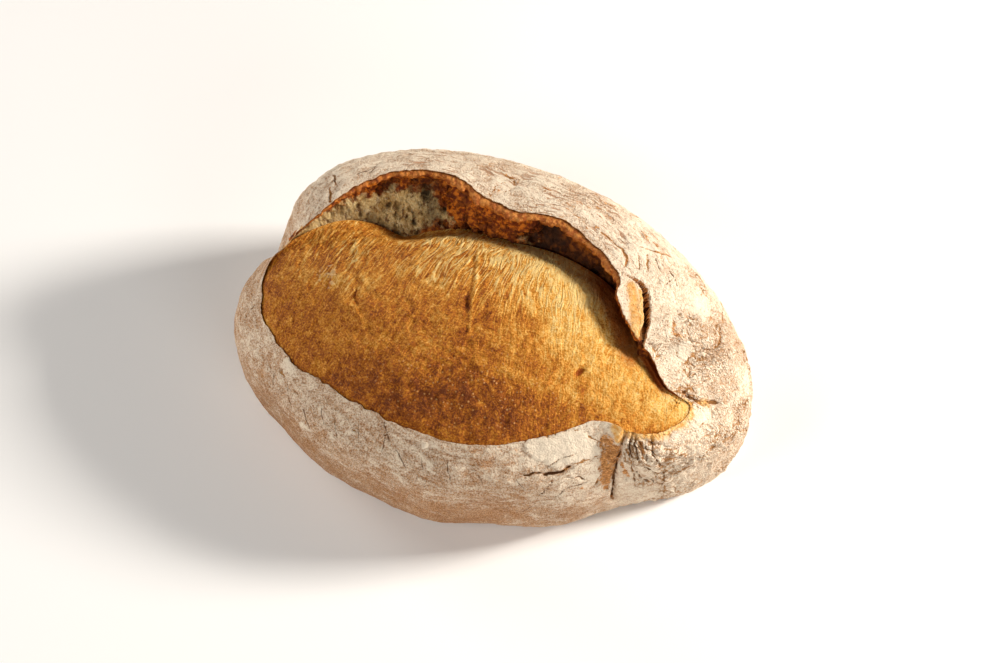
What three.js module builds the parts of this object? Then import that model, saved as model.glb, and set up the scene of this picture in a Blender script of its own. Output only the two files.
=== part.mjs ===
// An oval yeast bread loaf with one long split: a floured crust, a golden burst
// that has risen through the split, and a raised ear of crust along its back.
// Millimetres, +Z up. +X runs to the pointed end of the split, +Y to the ear.
// The origin is on the table, under the middle of the loaf.
import * as THREE from "three";

const { degToRad, lerp, smoothstep } = THREE.MathUtils;

// Plan of the loaf at its fullest height, as an oval with waves and dents. A wave
// has a number of lobes round the oval, a share of its radius and a turn in degrees.
// A dent lies at an angle, with a spread in degrees, and is inward where negative.
const halfLength = 131;
const halfWidth = 84.5;
const girthHeight = 38;
const waves = [
  { lobes: 2, size: 0.043, turn: 161 },
  { lobes: 3, size: 0.032, turn: -9 },
  { lobes: 4, size: 0.024, turn: 18 },
  { lobes: 5, size: 0.014, turn: -82 },
  { lobes: 6, size: 0.008, turn: -168 },
];
const dents = [
  { angle: -120, spread: 10, size: 0.013 },
  { angle: -100, spread: 9, size: -0.014 },
  { angle: -80, spread: 9, size: -0.043 },
  { angle: -62, spread: 8, size: 0.016 },
  { angle: -45, spread: 8, size: -0.011 },
];
const baseInset = 17; // from the fullest width in to the edge of the flat base

// Burst: a dome, oval in plan, that dives late into the crease round it.
const domeTop = new THREE.Vector3(4, 6, 98);
const domeLength = 140; // from the top to where it has dropped by domeDrop
const domeWidth = 92;
const domeDrop = 40;
const domeTurn = -5; // degrees
const diveFront = 5; // powers of the way from crown to crease: higher dives later
const diveBack = 7;
const crownX = 2; // the middle of the opening
const crownY = -21;

// Crust
const skinThickness = 1.2; // the thin skin along the front of the burst
const earThickness = 4.5; // the torn edge of the ear
const undercut = 9; // how far the torn wall is hollowed behind the ear's edge

// Stations round the opening, counter-clockwise from the pointed tip of the split.
// x, y, z: the crust's upper edge. bearing: where on the fullest outline the crust
// comes down to, in degrees. slope: how it leaves its edge, in degrees.
// creaseIn, creaseDown: where the burst meets the crust, towards the crown and down
// from the edge. ear: 1 where the crust stands up torn, 0 where it is a thin skin.
const stations = [
  { x: 105, y: -23, z: 74, bearing: -13.5, slope: -24, creaseIn: 0.5, creaseDown: 1, ear: 0 },
  { x: 92, y: -20, z: 82, bearing: -4, slope: -22, creaseIn: 0.5, creaseDown: 3, ear: 0.15 },
  { x: 81, y: -9, z: 88, bearing: 5.5, slope: -17, creaseIn: 0.5, creaseDown: 7, ear: 0.45 },
  { x: 73, y: -6, z: 95, bearing: 14, slope: -2, creaseIn: -2, creaseDown: 13, ear: 0.7 },
  { x: 61, y: 7, z: 100, bearing: 24, slope: -15, creaseIn: -4, creaseDown: 17, ear: 0.9 },
  { x: 58, y: 19, z: 102, bearing: 32, slope: -13, creaseIn: 1, creaseDown: 18, ear: 1 },
  { x: 45, y: 30, z: 103, bearing: 43, slope: -3, creaseIn: 4, creaseDown: 19, ear: 1 },
  { x: 24, y: 40, z: 104, bearing: 57, slope: -6, creaseIn: 9, creaseDown: 19, ear: 1 },
  { x: 2, y: 39, z: 104, bearing: 74, slope: 2, creaseIn: 7, creaseDown: 20, ear: 1 },
  { x: -15, y: 42, z: 104, bearing: 90, slope: -13, creaseIn: 9, creaseDown: 21, ear: 1 },
  { x: -33, y: 49, z: 104, bearing: 104, slope: -28, creaseIn: 17, creaseDown: 23, ear: 1 },
  { x: -51, y: 48, z: 103, bearing: 117, slope: -24, creaseIn: 22, creaseDown: 25, ear: 1 },
  { x: -68, y: 40, z: 101, bearing: 130, slope: -15, creaseIn: 22, creaseDown: 24, ear: 0.9 },
  { x: -82, y: 27, z: 97, bearing: 143, slope: -5, creaseIn: 13, creaseDown: 17, ear: 0.7 },
  { x: -93, y: 14, z: 90, bearing: 154, slope: -9, creaseIn: 6, creaseDown: 9, ear: 0.4 },
  { x: -103, y: 5, z: 79, bearing: 166, slope: -61, creaseIn: 2, creaseDown: 4, ear: 0.1 },
  { x: -110, y: -5, z: 71, bearing: 177, slope: -59, creaseIn: 0.5, creaseDown: 1, ear: 0 },
  { x: -109, y: -19, z: 67, bearing: -170, slope: -36, creaseIn: 0.5, creaseDown: 1, ear: 0 },
  { x: -101, y: -35, z: 65, bearing: -153, slope: -44, creaseIn: 0.5, creaseDown: 1, ear: 0 },
  { x: -79, y: -52, z: 66, bearing: -136, slope: -42, creaseIn: 0.5, creaseDown: 1, ear: 0 },
  { x: -51, y: -62, z: 68, bearing: -117, slope: -38, creaseIn: 0.5, creaseDown: 1, ear: 0 },
  { x: -22, y: -70, z: 70, bearing: -99, slope: -36, creaseIn: 0.5, creaseDown: 1, ear: 0 },
  { x: 13, y: -71, z: 72, bearing: -82, slope: -36, creaseIn: 0.5, creaseDown: 1, ear: 0 },
  { x: 43, y: -60, z: 76, bearing: -67, slope: -36, creaseIn: 0.5, creaseDown: 1, ear: 0 },
  { x: 66, y: -46, z: 80, bearing: -53, slope: -34, creaseIn: 0.5, creaseDown: 1, ear: 0 },
  { x: 87, y: -46, z: 79, bearing: -43, slope: -32, creaseIn: 0.5, creaseDown: 1, ear: 0 },
  { x: 100, y: -36, z: 75, bearing: -29, slope: -28, creaseIn: 0.5, creaseDown: 1, ear: 0 },
];

// Grooves in the crust: a path over the surface, pressed in along a direction, with
// a half-width and a depth in mm.
const grooves = [
  {
    name: "slit beside the tongue at the ear's right end",
    path: [[63, 18, 101], [71, 15, 100], [76, 6, 98], [78, -2, 94], [80, -8, 89]],
    into: [0, 0, -1],
    halfWidth: 5.5,
    depth: 6,
  },
  {
    name: "fold in the left end, below the ear's left root",
    path: [[-112, 12, 66], [-120, 14, 54], [-128, 15, 38], [-126, 14, 20]],
    into: [0.9, -0.3, -0.3],
    halfWidth: 6,
    depth: 4,
  },
  {
    name: "crease running on from the tip of the split",
    path: [[102, -23, 75], [111, -21, 69], [120, -18, 60]],
    into: [-0.4, 0, -0.9],
    halfWidth: 4,
    depth: 3,
  },
  {
    name: "pleat in the front right",
    path: [[79, -43, 77], [80, -58, 63], [79, -67, 45], [78, -71, 30]],
    into: [-0.3, 0.9, 0],
    halfWidth: 5,
    depth: 3,
  },
];

// Mesh
const columns = 135; // round the loaf, the same number for each station
const burstRings = 8;
const wallRings = 6;
const shoulderRings = 13;
const footRings = 6;
const burstBunching = 1.4; // over 1 gathers the rings near the crease
const shoulderBunching = 1.4; // over 1 gathers the rings near the crust's edge
const groovePoints = 40; // along each groove, to find the nearest from

// A closed curve through one set of the stations' values.
function around(pick) {
  const points = stations.map((station) => new THREE.Vector3(...pick(station)));
  return new THREE.CatmullRomCurve3(points, true, "catmullrom", 0.5);
}

const edgeLine = around(({ x, y, z }) => [x, y, z]);
const creaseLine = around(({ creaseIn, creaseDown }) => [creaseIn, creaseDown, 0]);
const crustLine = around(({ slope, ear }) => [slope, ear, 0]);
const bearingLine = around(({ bearing }) => [
  Math.cos(degToRad(bearing)),
  Math.sin(degToRad(bearing)),
  0,
]);

const grooveLines = grooves.map(({ path, into, halfWidth, depth }) => {
  const curve = new THREE.CatmullRomCurve3(path.map((point) => new THREE.Vector3(...point)));
  return { points: curve.getPoints(groovePoints), into: new THREE.Vector3(...into), halfWidth, depth };
});

// The point at an angle on the loaf's fullest outline.
function girth(angle) {
  let growth = 1;
  for (const { lobes, size, turn } of waves) {
    growth += size * Math.cos(lobes * angle - degToRad(turn));
  }
  for (const { angle: centre, spread, size } of dents) {
    const away = Math.abs(THREE.MathUtils.radToDeg(angle) - centre);
    growth += size * Math.exp(-((Math.min(away, 360 - away) / spread) ** 2));
  }
  return new THREE.Vector3(
    halfLength * growth * Math.cos(angle),
    halfWidth * growth * Math.sin(angle),
    girthHeight,
  );
}

// The height of the burst's dome over a point of the plan.
function domeHeight(x, y) {
  const turn = degToRad(domeTurn);
  const along = (x - domeTop.x) * Math.cos(turn) + (y - domeTop.y) * Math.sin(turn);
  const across = (y - domeTop.y) * Math.cos(turn) - (x - domeTop.x) * Math.sin(turn);
  return domeTop.z - domeDrop * ((along / domeLength) ** 2 + (across / domeWidth) ** 2);
}

// A copy of a point, carried along a level direction and raised.
function moved(point, direction, reach, rise) {
  return new THREE.Vector3(
    point.x + direction.x * reach,
    point.y + direction.y * reach,
    point.z + rise,
  );
}

// Points along a cubic Bezier curve, without its first.
function curve(start, control1, control2, end, count, bunching = 1) {
  const bezier = new THREE.CubicBezierCurve3(start, control1, control2, end);
  return Array.from({ length: count }, (_, i) => bezier.getPoint(((i + 1) / count) ** bunching));
}

// Presses the grooves into a point of the crust.
function grooved(point) {
  for (const { points, into, halfWidth, depth } of grooveLines) {
    const away = Math.min(...points.map((near) => near.distanceTo(point)));
    point.addScaledVector(into, depth * Math.exp(-((away / halfWidth) ** 2)));
  }
  return point;
}

// The loaf's section at u, 0 to 1 round the opening: from the crown over the burst,
// down into the crease, up the torn wall to the crust's edge, out over the shoulder
// to the fullest width and in under to the flat base.
function section(u) {
  const edge = edgeLine.getPoint(u);
  const { x: creaseIn, y: creaseDown } = creaseLine.getPoint(u);
  const { x: slopeDegrees, y: ear } = crustLine.getPoint(u);
  const slope = degToRad(slopeDegrees);
  const inward = new THREE.Vector3(crownX - edge.x, crownY - edge.y, 0).normalize();
  const bearing = bearingLine.getPoint(u);

  const crease = moved(edge, inward, creaseIn, -creaseDown);
  const sink = domeHeight(crease.x, crease.y) - crease.z;
  const dive = lerp(diveFront, diveBack, ear);
  const burst = Array.from({ length: burstRings }, (_, i) => {
    const way = 1 - (1 - (i + 1) / burstRings) ** burstBunching;
    const x = lerp(crownX, crease.x, way);
    const y = lerp(crownY, crease.y, way);
    return new THREE.Vector3(x, y, domeHeight(x, y) - sink * way ** dive);
  });

  const thickness = Math.min(0.6 * creaseDown, lerp(skinThickness, earThickness, ear));
  const under = moved(edge, inward, 0.3 * thickness, -thickness);
  const wallHeight = under.z - crease.z;
  const hollow = -undercut * ear;
  const wall = curve(
    crease,
    moved(crease, inward, hollow, 0.2 * wallHeight),
    moved(under, inward, hollow, -0.2 * wallHeight),
    under,
    wallRings,
  );
  const lip = moved(edge, inward, 0.45 * thickness, -0.5 * thickness);

  const side = girth(Math.atan2(bearing.y, bearing.x));
  const outward = new THREE.Vector3(side.x - edge.x, side.y - edge.y, 0);
  const drop = edge.z - girthHeight;
  const reach = 0.45 * Math.hypot(outward.length(), drop);
  outward.normalize();
  const shoulder = curve(
    edge,
    moved(edge, outward, reach * Math.cos(slope), reach * Math.sin(slope)),
    moved(side, outward, 0, 0.55 * drop),
    side,
    shoulderRings,
    shoulderBunching,
  );
  const foot = curve(
    side,
    moved(side, outward, 0, -0.58 * girthHeight),
    moved(side, outward, -0.25 * baseInset, -girthHeight),
    moved(side, outward, -baseInset, -girthHeight),
    footRings,
  );
  const crust = [...wall, lip, edge, ...shoulder, ...foot.slice(0, -2)];
  return [...burst, ...crust.map(grooved), ...foot.slice(-2)];
}

// One closed skin: a pole at the crown, the sections, and a pole under the base.
function loafGeometry() {
  const sections = Array.from({ length: columns }, (_, i) => section(i / columns));
  const rings = sections[0].length;
  const crown = new THREE.Vector3(crownX, crownY, domeHeight(crownX, crownY));
  const vertices = [crown, ...sections.flat(), new THREE.Vector3(crownX, crownY, 0)];
  const under = vertices.length - 1;
  const faces = [];
  for (let i = 0; i < columns; i += 1) {
    const here = 1 + i * rings;
    const next = 1 + ((i + 1) % columns) * rings;
    faces.push(0, here, next);
    for (let j = 0; j < rings - 1; j += 1) {
      faces.push(here + j, here + j + 1, next + j + 1);
      faces.push(here + j, next + j + 1, next + j);
    }
    faces.push(here + rings - 1, under, next + rings - 1);
  }
  const geometry = new THREE.BufferGeometry().setFromPoints(vertices);
  geometry.setIndex(faces);
  geometry.computeBoundingBox();
  const middle = geometry.boundingBox.getCenter(new THREE.Vector3());
  geometry.translate(-middle.x, -middle.y, 0);
  geometry.computeVertexNormals();
  return geometry;
}

// Baked wheat crust, dusted with flour.
const crustMaterial = new THREE.MeshStandardMaterial({
  color: 0xc9a47c,
  roughness: 0.85,
  metalness: 0,
});

const loaf = new THREE.Mesh(loafGeometry(), crustMaterial);
loaf.name = "loaf";

export default new THREE.Group().add(loaf);
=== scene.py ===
from functools import partial

import bpy
import numpy as np
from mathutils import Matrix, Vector


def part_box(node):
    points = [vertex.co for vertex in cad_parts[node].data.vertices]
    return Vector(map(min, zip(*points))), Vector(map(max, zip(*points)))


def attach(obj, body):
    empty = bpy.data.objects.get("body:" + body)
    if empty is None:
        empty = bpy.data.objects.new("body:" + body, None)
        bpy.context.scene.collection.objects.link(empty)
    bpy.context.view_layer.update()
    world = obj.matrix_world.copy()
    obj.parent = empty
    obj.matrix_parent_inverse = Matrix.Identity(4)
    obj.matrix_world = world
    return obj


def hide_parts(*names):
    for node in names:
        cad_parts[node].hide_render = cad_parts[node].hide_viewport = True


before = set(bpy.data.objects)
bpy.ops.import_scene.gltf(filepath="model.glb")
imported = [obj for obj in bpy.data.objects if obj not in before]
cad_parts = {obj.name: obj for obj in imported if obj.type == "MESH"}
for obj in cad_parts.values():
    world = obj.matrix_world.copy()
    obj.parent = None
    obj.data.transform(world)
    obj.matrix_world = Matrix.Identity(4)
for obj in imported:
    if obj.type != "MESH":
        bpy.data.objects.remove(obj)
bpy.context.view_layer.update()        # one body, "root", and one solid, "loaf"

boxLow, boxHigh = (np.array(corner) * 1000 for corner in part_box("loaf"))  # mm, as all sizes below
boxMiddle = (boxLow + boxHigh) / 2

# The loaf's form: its fullest outline, the dome of the burst and the opening round it
form = {
    "halfLength": 131,
    "halfWidth": 84.5,
    "girthHeight": 38,
    "baseInset": 17,
    "waves": [(2, 0.043, 161), (3, 0.032, -9), (4, 0.024, 18), (5, 0.014, -82), (6, 0.008, -168)],
    "dents": [(-120, 10, 0.013), (-100, 9, -0.014), (-80, 9, -0.043), (-62, 8, 0.016), (-45, 8, -0.011)],
    "domeTop": (4, 6, 98),
    "domeLength": 140,
    "domeWidth": 92,
    "domeDrop": 40,
    "domeTurn": -5,
    "openingMiddle": (2, -21),
    "undercut": 9,
    "rimThickness": 4.5,
    "skin": 0.9,             # thickness of the floured skin at its torn edge
    "biasInward": 0.5,       # keeps the relief inside the loaf's measured size
}

# Stations round the opening, counter-clockwise from the pointed tip of the split:
# x, y, z of the crust's edge, bearing and slope in degrees, crease in and down, ear 0 to 1
stations = np.array([
    (105, -23, 74, -13.5, -24, 0.5, 1, 0),
    (92, -20, 82, -4, -22, 0.5, 3, 0.15),
    (81, -9, 88, 5.5, -17, 0.5, 7, 0.45),
    (73, -6, 95, 14, -2, -2, 13, 0.7),
    (61, 7, 100, 24, -15, -4, 17, 0.9),
    (58, 19, 102, 32, -13, 1, 18, 1),
    (45, 30, 103, 43, -3, 4, 19, 1),
    (24, 40, 104, 57, -6, 9, 19, 1),
    (2, 39, 104, 74, 2, 7, 20, 1),
    (-15, 42, 104, 90, -13, 9, 21, 1),
    (-33, 49, 104, 104, -28, 17, 23, 1),
    (-51, 48, 103, 117, -24, 22, 25, 1),
    (-68, 40, 101, 130, -15, 21, 23, 0.9),
    (-82, 27, 97, 143, -5, 8, 13, 0.65),
    (-93, 14, 90, 154, -9, 1, 3, 0.2),
    (-103, 5, 79, 166, -61, 0.5, 1, 0),
    (-110, -5, 71, 177, -59, 0.5, 1, 0),
    (-109, -19, 67, -170, -36, 0.5, 1, 0),
    (-101, -35, 65, -153, -44, 0.5, 1, 0),
    (-79, -52, 66, -136, -42, 0.5, 1, 0),
    (-51, -62, 68, -117, -38, 0.5, 1, 0),
    (-22, -70, 70, -99, -36, 0.5, 1, 0),
    (13, -71, 72, -82, -36, 0.5, 1, 0),
    (43, -60, 76, -67, -36, 0.5, 1, 0),
    (66, -46, 80, -53, -34, 0.5, 1, 0),
    (87, -46, 79, -43, -32, 0.5, 1, 0),
    (100, -36, 75, -29, -28, 0.5, 1, 0),
])


def smooth(low, high, x):
    # 3t^2 - 2t^3, where t goes from 0 at low to 1 at high
    t = np.clip((x - low) / (high - low), 0, 1)
    return t * t * (3 - 2 * t)


def loopCurve(values, u):
    # a closed Catmull-Rom curve: from b to c it is
    # (2b + (c - a)t + (2a - 5b + 4c - d)t^2 + (3b - a - 3c + d)t^3) / 2
    k, t = np.divmod(np.mod(u, 1) * len(values), 1)
    a, b, c, d = (values[(k.astype(int) + step) % len(values)] for step in (-1, 0, 1, 2))
    t = t[:, None]
    return (2 * b + (c - a) * t + (2 * a - 5 * b + 4 * c - d) * t**2
            + (3 * b - a - 3 * c + d) * t**3) / 2


def bezier(a, b, c, d, t):
    # a(1-t)^3 + 3bt(1-t)^2 + 3ct^2(1-t) + dt^3, a row of points for each t
    t = np.reshape(t, (-1, 1, 1))
    return a * (1 - t)**3 + 3 * b * t * (1 - t)**2 + 3 * c * t**2 * (1 - t) + d * t**3


def scrambled(cells, seed):
    # whole numbers in space to repeatable whole numbers
    x, y, z = np.moveaxis(cells.astype(np.int64), -1, 0)
    mixed = (x * 73856093) ^ (y * 19349663) ^ (z * 83492791) ^ (seed * 2654435761)
    mixed = (mixed ^ (mixed >> 13)) * 1274126177
    return (mixed ^ (mixed >> 16)) & 0x7FFFFFFF


directions = np.random.default_rng(4).normal(size=(256, 3))
directions /= np.linalg.norm(directions, axis=1)[:, None]


def ripple(points, size, seed=0):
    # gradient noise, about -1 to 1: at each corner of a cell a random slope, blended
    # across the cell by 6t^5 - 15t^4 + 10t^3; each seed has its cells elsewhere
    place = np.asarray(points) / size + 31.7 * (seed + 1)
    cell = np.floor(place)
    t = place - cell
    blend = t**3 * (t * (t * 6 - 15) + 10)
    total = 0
    for corner in np.ndindex(2, 2, 2):
        slope = directions[scrambled(cell + corner, seed) % 256]
        weight = np.prod(np.where(corner, blend, 1 - blend), axis=-1)
        total = total + weight * ((t - corner) * slope).sum(-1)
    return total * 1.7


def layered(points, size, layers=3, seed=0):
    # noise at size, and at half the size and strength for each further layer
    return sum(ripple(points, size / 2**k, seed + k) / 2**k for k in range(layers))


def drift(points, size, *seeds):
    # a step in space for every point: one noise for each axis
    return np.stack([ripple(points, size, seed) for seed in seeds], -1)


def bubbles(points, size, seed=0):
    # cell noise: the distances to the nearest and second of the seeds strewn one to a
    # cell, in cells, and a random number 0 to 1 that belongs to the nearest
    place = np.asarray(points) / size + 7.3 * (seed + 1)
    base = np.floor(place)
    nearest = np.full(place.shape[:-1], 9.0)
    second = nearest.copy()
    tag = np.zeros(place.shape[:-1])
    for step in np.ndindex(3, 3, 3):
        cell = base + step - 1
        mixed = scrambled(cell, seed)
        jitter = np.stack([mixed & 1023, (mixed >> 10) & 1023, (mixed >> 20) & 1023], -1) / 1023
        away = np.linalg.norm(cell + jitter - place, axis=-1)
        second = np.minimum(second, np.maximum(away, nearest))
        tag = np.where(away < nearest, (mixed >> 5 & 255) / 255, tag)
        nearest = np.minimum(nearest, away)
    return nearest, second, tag


def blob(x, y, middle, spread):
    # a soft oval spot seen from above: exp(-((x - a) / p)^2 - ((y - b) / q)^2)
    (a, b), (p, q) = middle, spread
    return np.exp(-((x - a) / p)**2 - ((y - b) / q)**2)


def lengths(away, normals=None):
    # how long each step is; with normals it is measured along the surface, as nine
    # tenths of the part along them is left out
    if normals is not None:
        away = away - 0.9 * (away * normals).sum(-1)[..., None] * normals
    return np.linalg.norm(away, axis=-1)


def nearLine(points, path, normals=None):
    # the distance from every point to a line through the points of a path
    path = np.array(path, float)
    best = np.full(points.shape[:-1], 1e9)
    for start, end in zip(path[:-1], path[1:]):
        along = end - start
        t = np.clip((points - start) @ along / (along @ along), 0, 1)
        best = np.minimum(best, lengths(points - start - t[..., None] * along, normals))
    return best


def ridge(points, path, width):
    # a soft ridge along a path: exp(-(distance / width)^2)
    return np.exp(-(nearLine(points, path) / width)**2)


def girth(angle):
    # the fullest outline: an oval that grows and shrinks by its waves and dents
    growth = np.ones_like(angle)
    for lobes, size, turn in form["waves"]:
        growth += size * np.cos(lobes * angle - np.radians(turn))
    for centre, spread, size in form["dents"]:
        away = (np.degrees(angle) - centre + 180) % 360 - 180
        growth += size * np.exp(-(away / spread)**2)
    return np.stack([
        form["halfLength"] * growth * np.cos(angle),
        form["halfWidth"] * growth * np.sin(angle),
        np.full_like(angle, form["girthHeight"]),
    ], -1)


# The CAD solid stands over the middle of its box, so everything here moves with it
fullest = girth(np.radians(np.arange(0, 360, 0.5)))
shift = np.array([*(boxMiddle - (fullest.min(0) + fullest.max(0)) / 2)[:2], 0])


def domeHeight(x, y):
    # the burst's dome: its top less domeDrop times the square of the way out, in ovals
    turn = np.radians(form["domeTurn"])
    dx, dy = x - form["domeTop"][0] - shift[0], y - form["domeTop"][1] - shift[1]
    along = (dx * np.cos(turn) + dy * np.sin(turn)) / form["domeLength"]
    across = (dy * np.cos(turn) - dx * np.sin(turn)) / form["domeWidth"]
    return form["domeTop"][2] - form["domeDrop"] * (along**2 + across**2)


def swell(points):
    # the crust's soft unevenness, in mm outwards: noise of two sizes less the bias
    return 0.8 * ripple(points, 42, 1) + 0.4 * ripple(points, 17, 2) - form["biasInward"]


def opening(u):
    # everything that the stations say at u, 0 to 1 round the opening
    row = loopCurve(stations, u)
    bearing = np.radians(stations[:, 3])
    turned = loopCurve(np.stack([np.cos(bearing), np.sin(bearing)], -1), u)
    side = girth(np.arctan2(turned[:, 1], turned[:, 0])) + shift
    edge = row[:, :3] + shift
    edge[:, 2] += swell(edge)
    inward = edge * 0
    inward[:, :2] = np.array(form["openingMiddle"]) + shift[:2] - edge[:, :2]
    inward /= np.linalg.norm(inward, axis=1)[:, None]
    outward = (side - edge) * (1, 1, 0)
    outward /= np.linalg.norm(outward, axis=1)[:, None]
    slope = np.radians(row[:, 4])[:, None]
    up = np.array([0, 0, 1.0])
    ear = row[:, 7:8]
    standing = smooth(0, 0.3, ear)       # 0 where the crust only laps on to the burst
    flush = smooth(-10, 50, edge[:, :1])
    lap = (1 - standing) * (0.4 + 0.65 * flush + 0.3 * ripple(edge, 9, 70)[:, None])
    return {
        "skin": 0.4 + (form["skin"] - 0.4) * standing,
        "edge": edge, "side": side, "inward": inward, "outward": outward, "ear": ear,
        "crease": edge + inward * row[:, 5:6] - up * (row[:, 6:7] - lap),
        "creaseDown": row[:, 6:7],
        "along": outward * np.cos(slope) + up * np.sin(slope),
        "normal": up * np.cos(slope) - outward * np.sin(slope),
    }


def normalsOf(rings):
    # the cross product of the step from ring to ring and the step round a ring
    normals = np.cross(np.gradient(rings, axis=0), np.roll(rings, -1, 1) - np.roll(rings, 1, 1))
    return normals / np.maximum(np.linalg.norm(normals, axis=-1), 1e-9)[..., None]


def skin(name, rings, material, marks):
    # rings of points in mm, each closed on itself, joined in their order, with a point
    # in the middle of the first and of the last; marks are numbers or vectors by point
    count, around = rings.shape[:2]
    points = np.concatenate([rings.reshape(-1, 3), [rings[0].mean(0), rings[-1].mean(0)]]) / 1000
    index = np.arange(count * around).reshape(count, around)
    beside = np.roll(index, -1, 1)
    quads = np.stack([index[:-1], index[1:], beside[1:], beside[:-1]], -1).reshape(-1, 4)
    first, last = np.full(around, count * around), np.full(around, count * around + 1)
    caps = np.concatenate([
        np.stack([first, index[0], beside[0]], -1),
        np.stack([index[-1], last, beside[-1]], -1),
    ])
    mesh = bpy.data.meshes.new(name)
    mesh.from_pydata(points.tolist(), [], quads.tolist() + caps.tolist())
    for mark, values in marks.items():
        values = np.asarray(values, float)
        flat = values.reshape(count * around, -1)
        flat = np.concatenate([flat, flat[:1], flat[-1:]])
        kind, field = ("FLOAT", "value") if flat.shape[1] == 1 else ("FLOAT_VECTOR", "vector")
        mesh.attributes.new(mark, kind, "POINT").data.foreach_set(field, flat.ravel())
    mesh.shade_smooth()
    mesh.materials.append(material)
    piece = bpy.data.objects.new(name, mesh)
    bpy.context.scene.collection.objects.link(piece)
    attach(piece, "root")
    print(f"{name}: {len(quads) * 2 + len(caps)} triangles")
    return piece


def linear(code):
    # an sRGB hex colour as the linear one that shaders use
    parts = np.array([int(code[k:k + 2], 16) for k in (1, 3, 5)]) / 255
    parts = np.where(parts <= 0.04045, parts / 12.92, ((parts + 0.055) / 1.055)**2.4)
    return (*parts, 1.0)


def addNode(tree, kind, inputs=(), output=0, **settings):
    # a node with its settings, and a value, a colour or a link for each input, which are
    # listed in order or given by name or number
    made = tree.nodes.new("ShaderNode" + kind)
    for name, value in settings.items():
        setattr(made, name, value)
    for name, value in inputs.items() if isinstance(inputs, dict) else enumerate(inputs):
        if isinstance(value, bpy.types.NodeSocket):
            tree.links.new(value, made.inputs[name])
        else:
            made.inputs[name].default_value = linear(value) if isinstance(value, str) else value
    return made.outputs[output]


def startMaterial(name, **shaderValues):
    # a material with one Principled shader; add() puts nodes into it, and place is the
    # position on the piece in mm
    material = bpy.data.materials.new(name)
    material.use_nodes = True
    shader = material.node_tree.nodes["Principled BSDF"]
    for socket, value in shaderValues.items():
        shader.inputs[socket].default_value = value
    add = partial(addNode, material.node_tree)
    inMetres = add("TexCoord", output="Object")
    place = add("Mapping", {"Vector": inMetres, "Scale": (1000, 1000, 1000)})
    return material, shader, add, place


def finishMaterial(material, shader, colour, normal):
    # joins the colour and the relief's normal to the shader
    material.node_tree.links.new(colour, shader.inputs["Base Color"])
    material.node_tree.links.new(normal, shader.inputs["Normal"])
    return material


colourMix = {"data_type": "RGBA", "output": 2}      # takes {0: amount, 6: first, 7: second}
eased = {"interpolation_type": "SMOOTHSTEP"}        # takes [value, from, to], to end at 0 and 1
times, plus = {"operation": "MULTIPLY"}, {"operation": "ADD"}
timesPlus = {"operation": "MULTIPLY_ADD"}           # takes [value, factor, what to add it to]
unsigned, larger = {"operation": "ABSOLUTE"}, {"operation": "MAXIMUM"}


# The floured crust
crust = {
    "columns": 760,
    "shoulderRows": 97,
    "footRows": 20,
    "raggedness": 0.8,
    "lumpHeight": 0.24,
    "hollowDepth": 0.35,
    "streakHeight": 0.2,
    "earStreakHeight": 0.25,     # as much again on the ear
    "puffs": [(5.2, 1.5), (2.9, 0.85)],  # size and height of the crumpled skin's two kinds
    "plateSize": 3.6,
    "plateStep": 0.4,
    "pleatDepth": 1.4,
    "flakeHeight": 0.45,
    "pinch": (77, -44, 80),  # where the pleats meet
    "pleats": 14,            # for each radian round the pinch, divided by pi
    "slit": [(58, 21.5, 98), (60.5, 21.3, 98), (64.3, 20.4, 97), (67, 18.1, 96), (68.8, 15, 95),
             (70.2, 11, 94), (71.3, 6.5, 94), (72.2, 2, 93), (72.6, -4.2, 93), (72.4, -11, 93)],
    "slitHalfWidth": 1.05,
    "slitDepth": 9,
    # the bare brown wedge left of the deep fold
    "wedge": [(69, -52.3, 74), (71.7, -54.1, 70.8), (72, -56.2, 66.9), (72, -58, 60.9), (72.1, -59.6, 52.7),
              (72.4, -60.4, 43)],
    "slashWidth": 0.45,      # of a short thin crack
    "slashFree": 12,         # what their map says away from them
    "creaseRun": (0.55, 1, 1),   # creases run along the loaf rather than up it
    "flour": "#f5e4cc", "tan": "#d8a87c", "darkTan": "#a87248", "streak": "#bc8660",
    "bare": "#f0ac66", "bareFibres": "#ae6c2e", "bareBlots": "#84481a",
    "shallowCrack": "#bc8650", "deepCrack": "#3a1c0a", "thinCrack": "#744a2a", "crease": "#bc8450",
    "dough": "#e8a24c", "paleDough": "#f8cf90",
}

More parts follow.
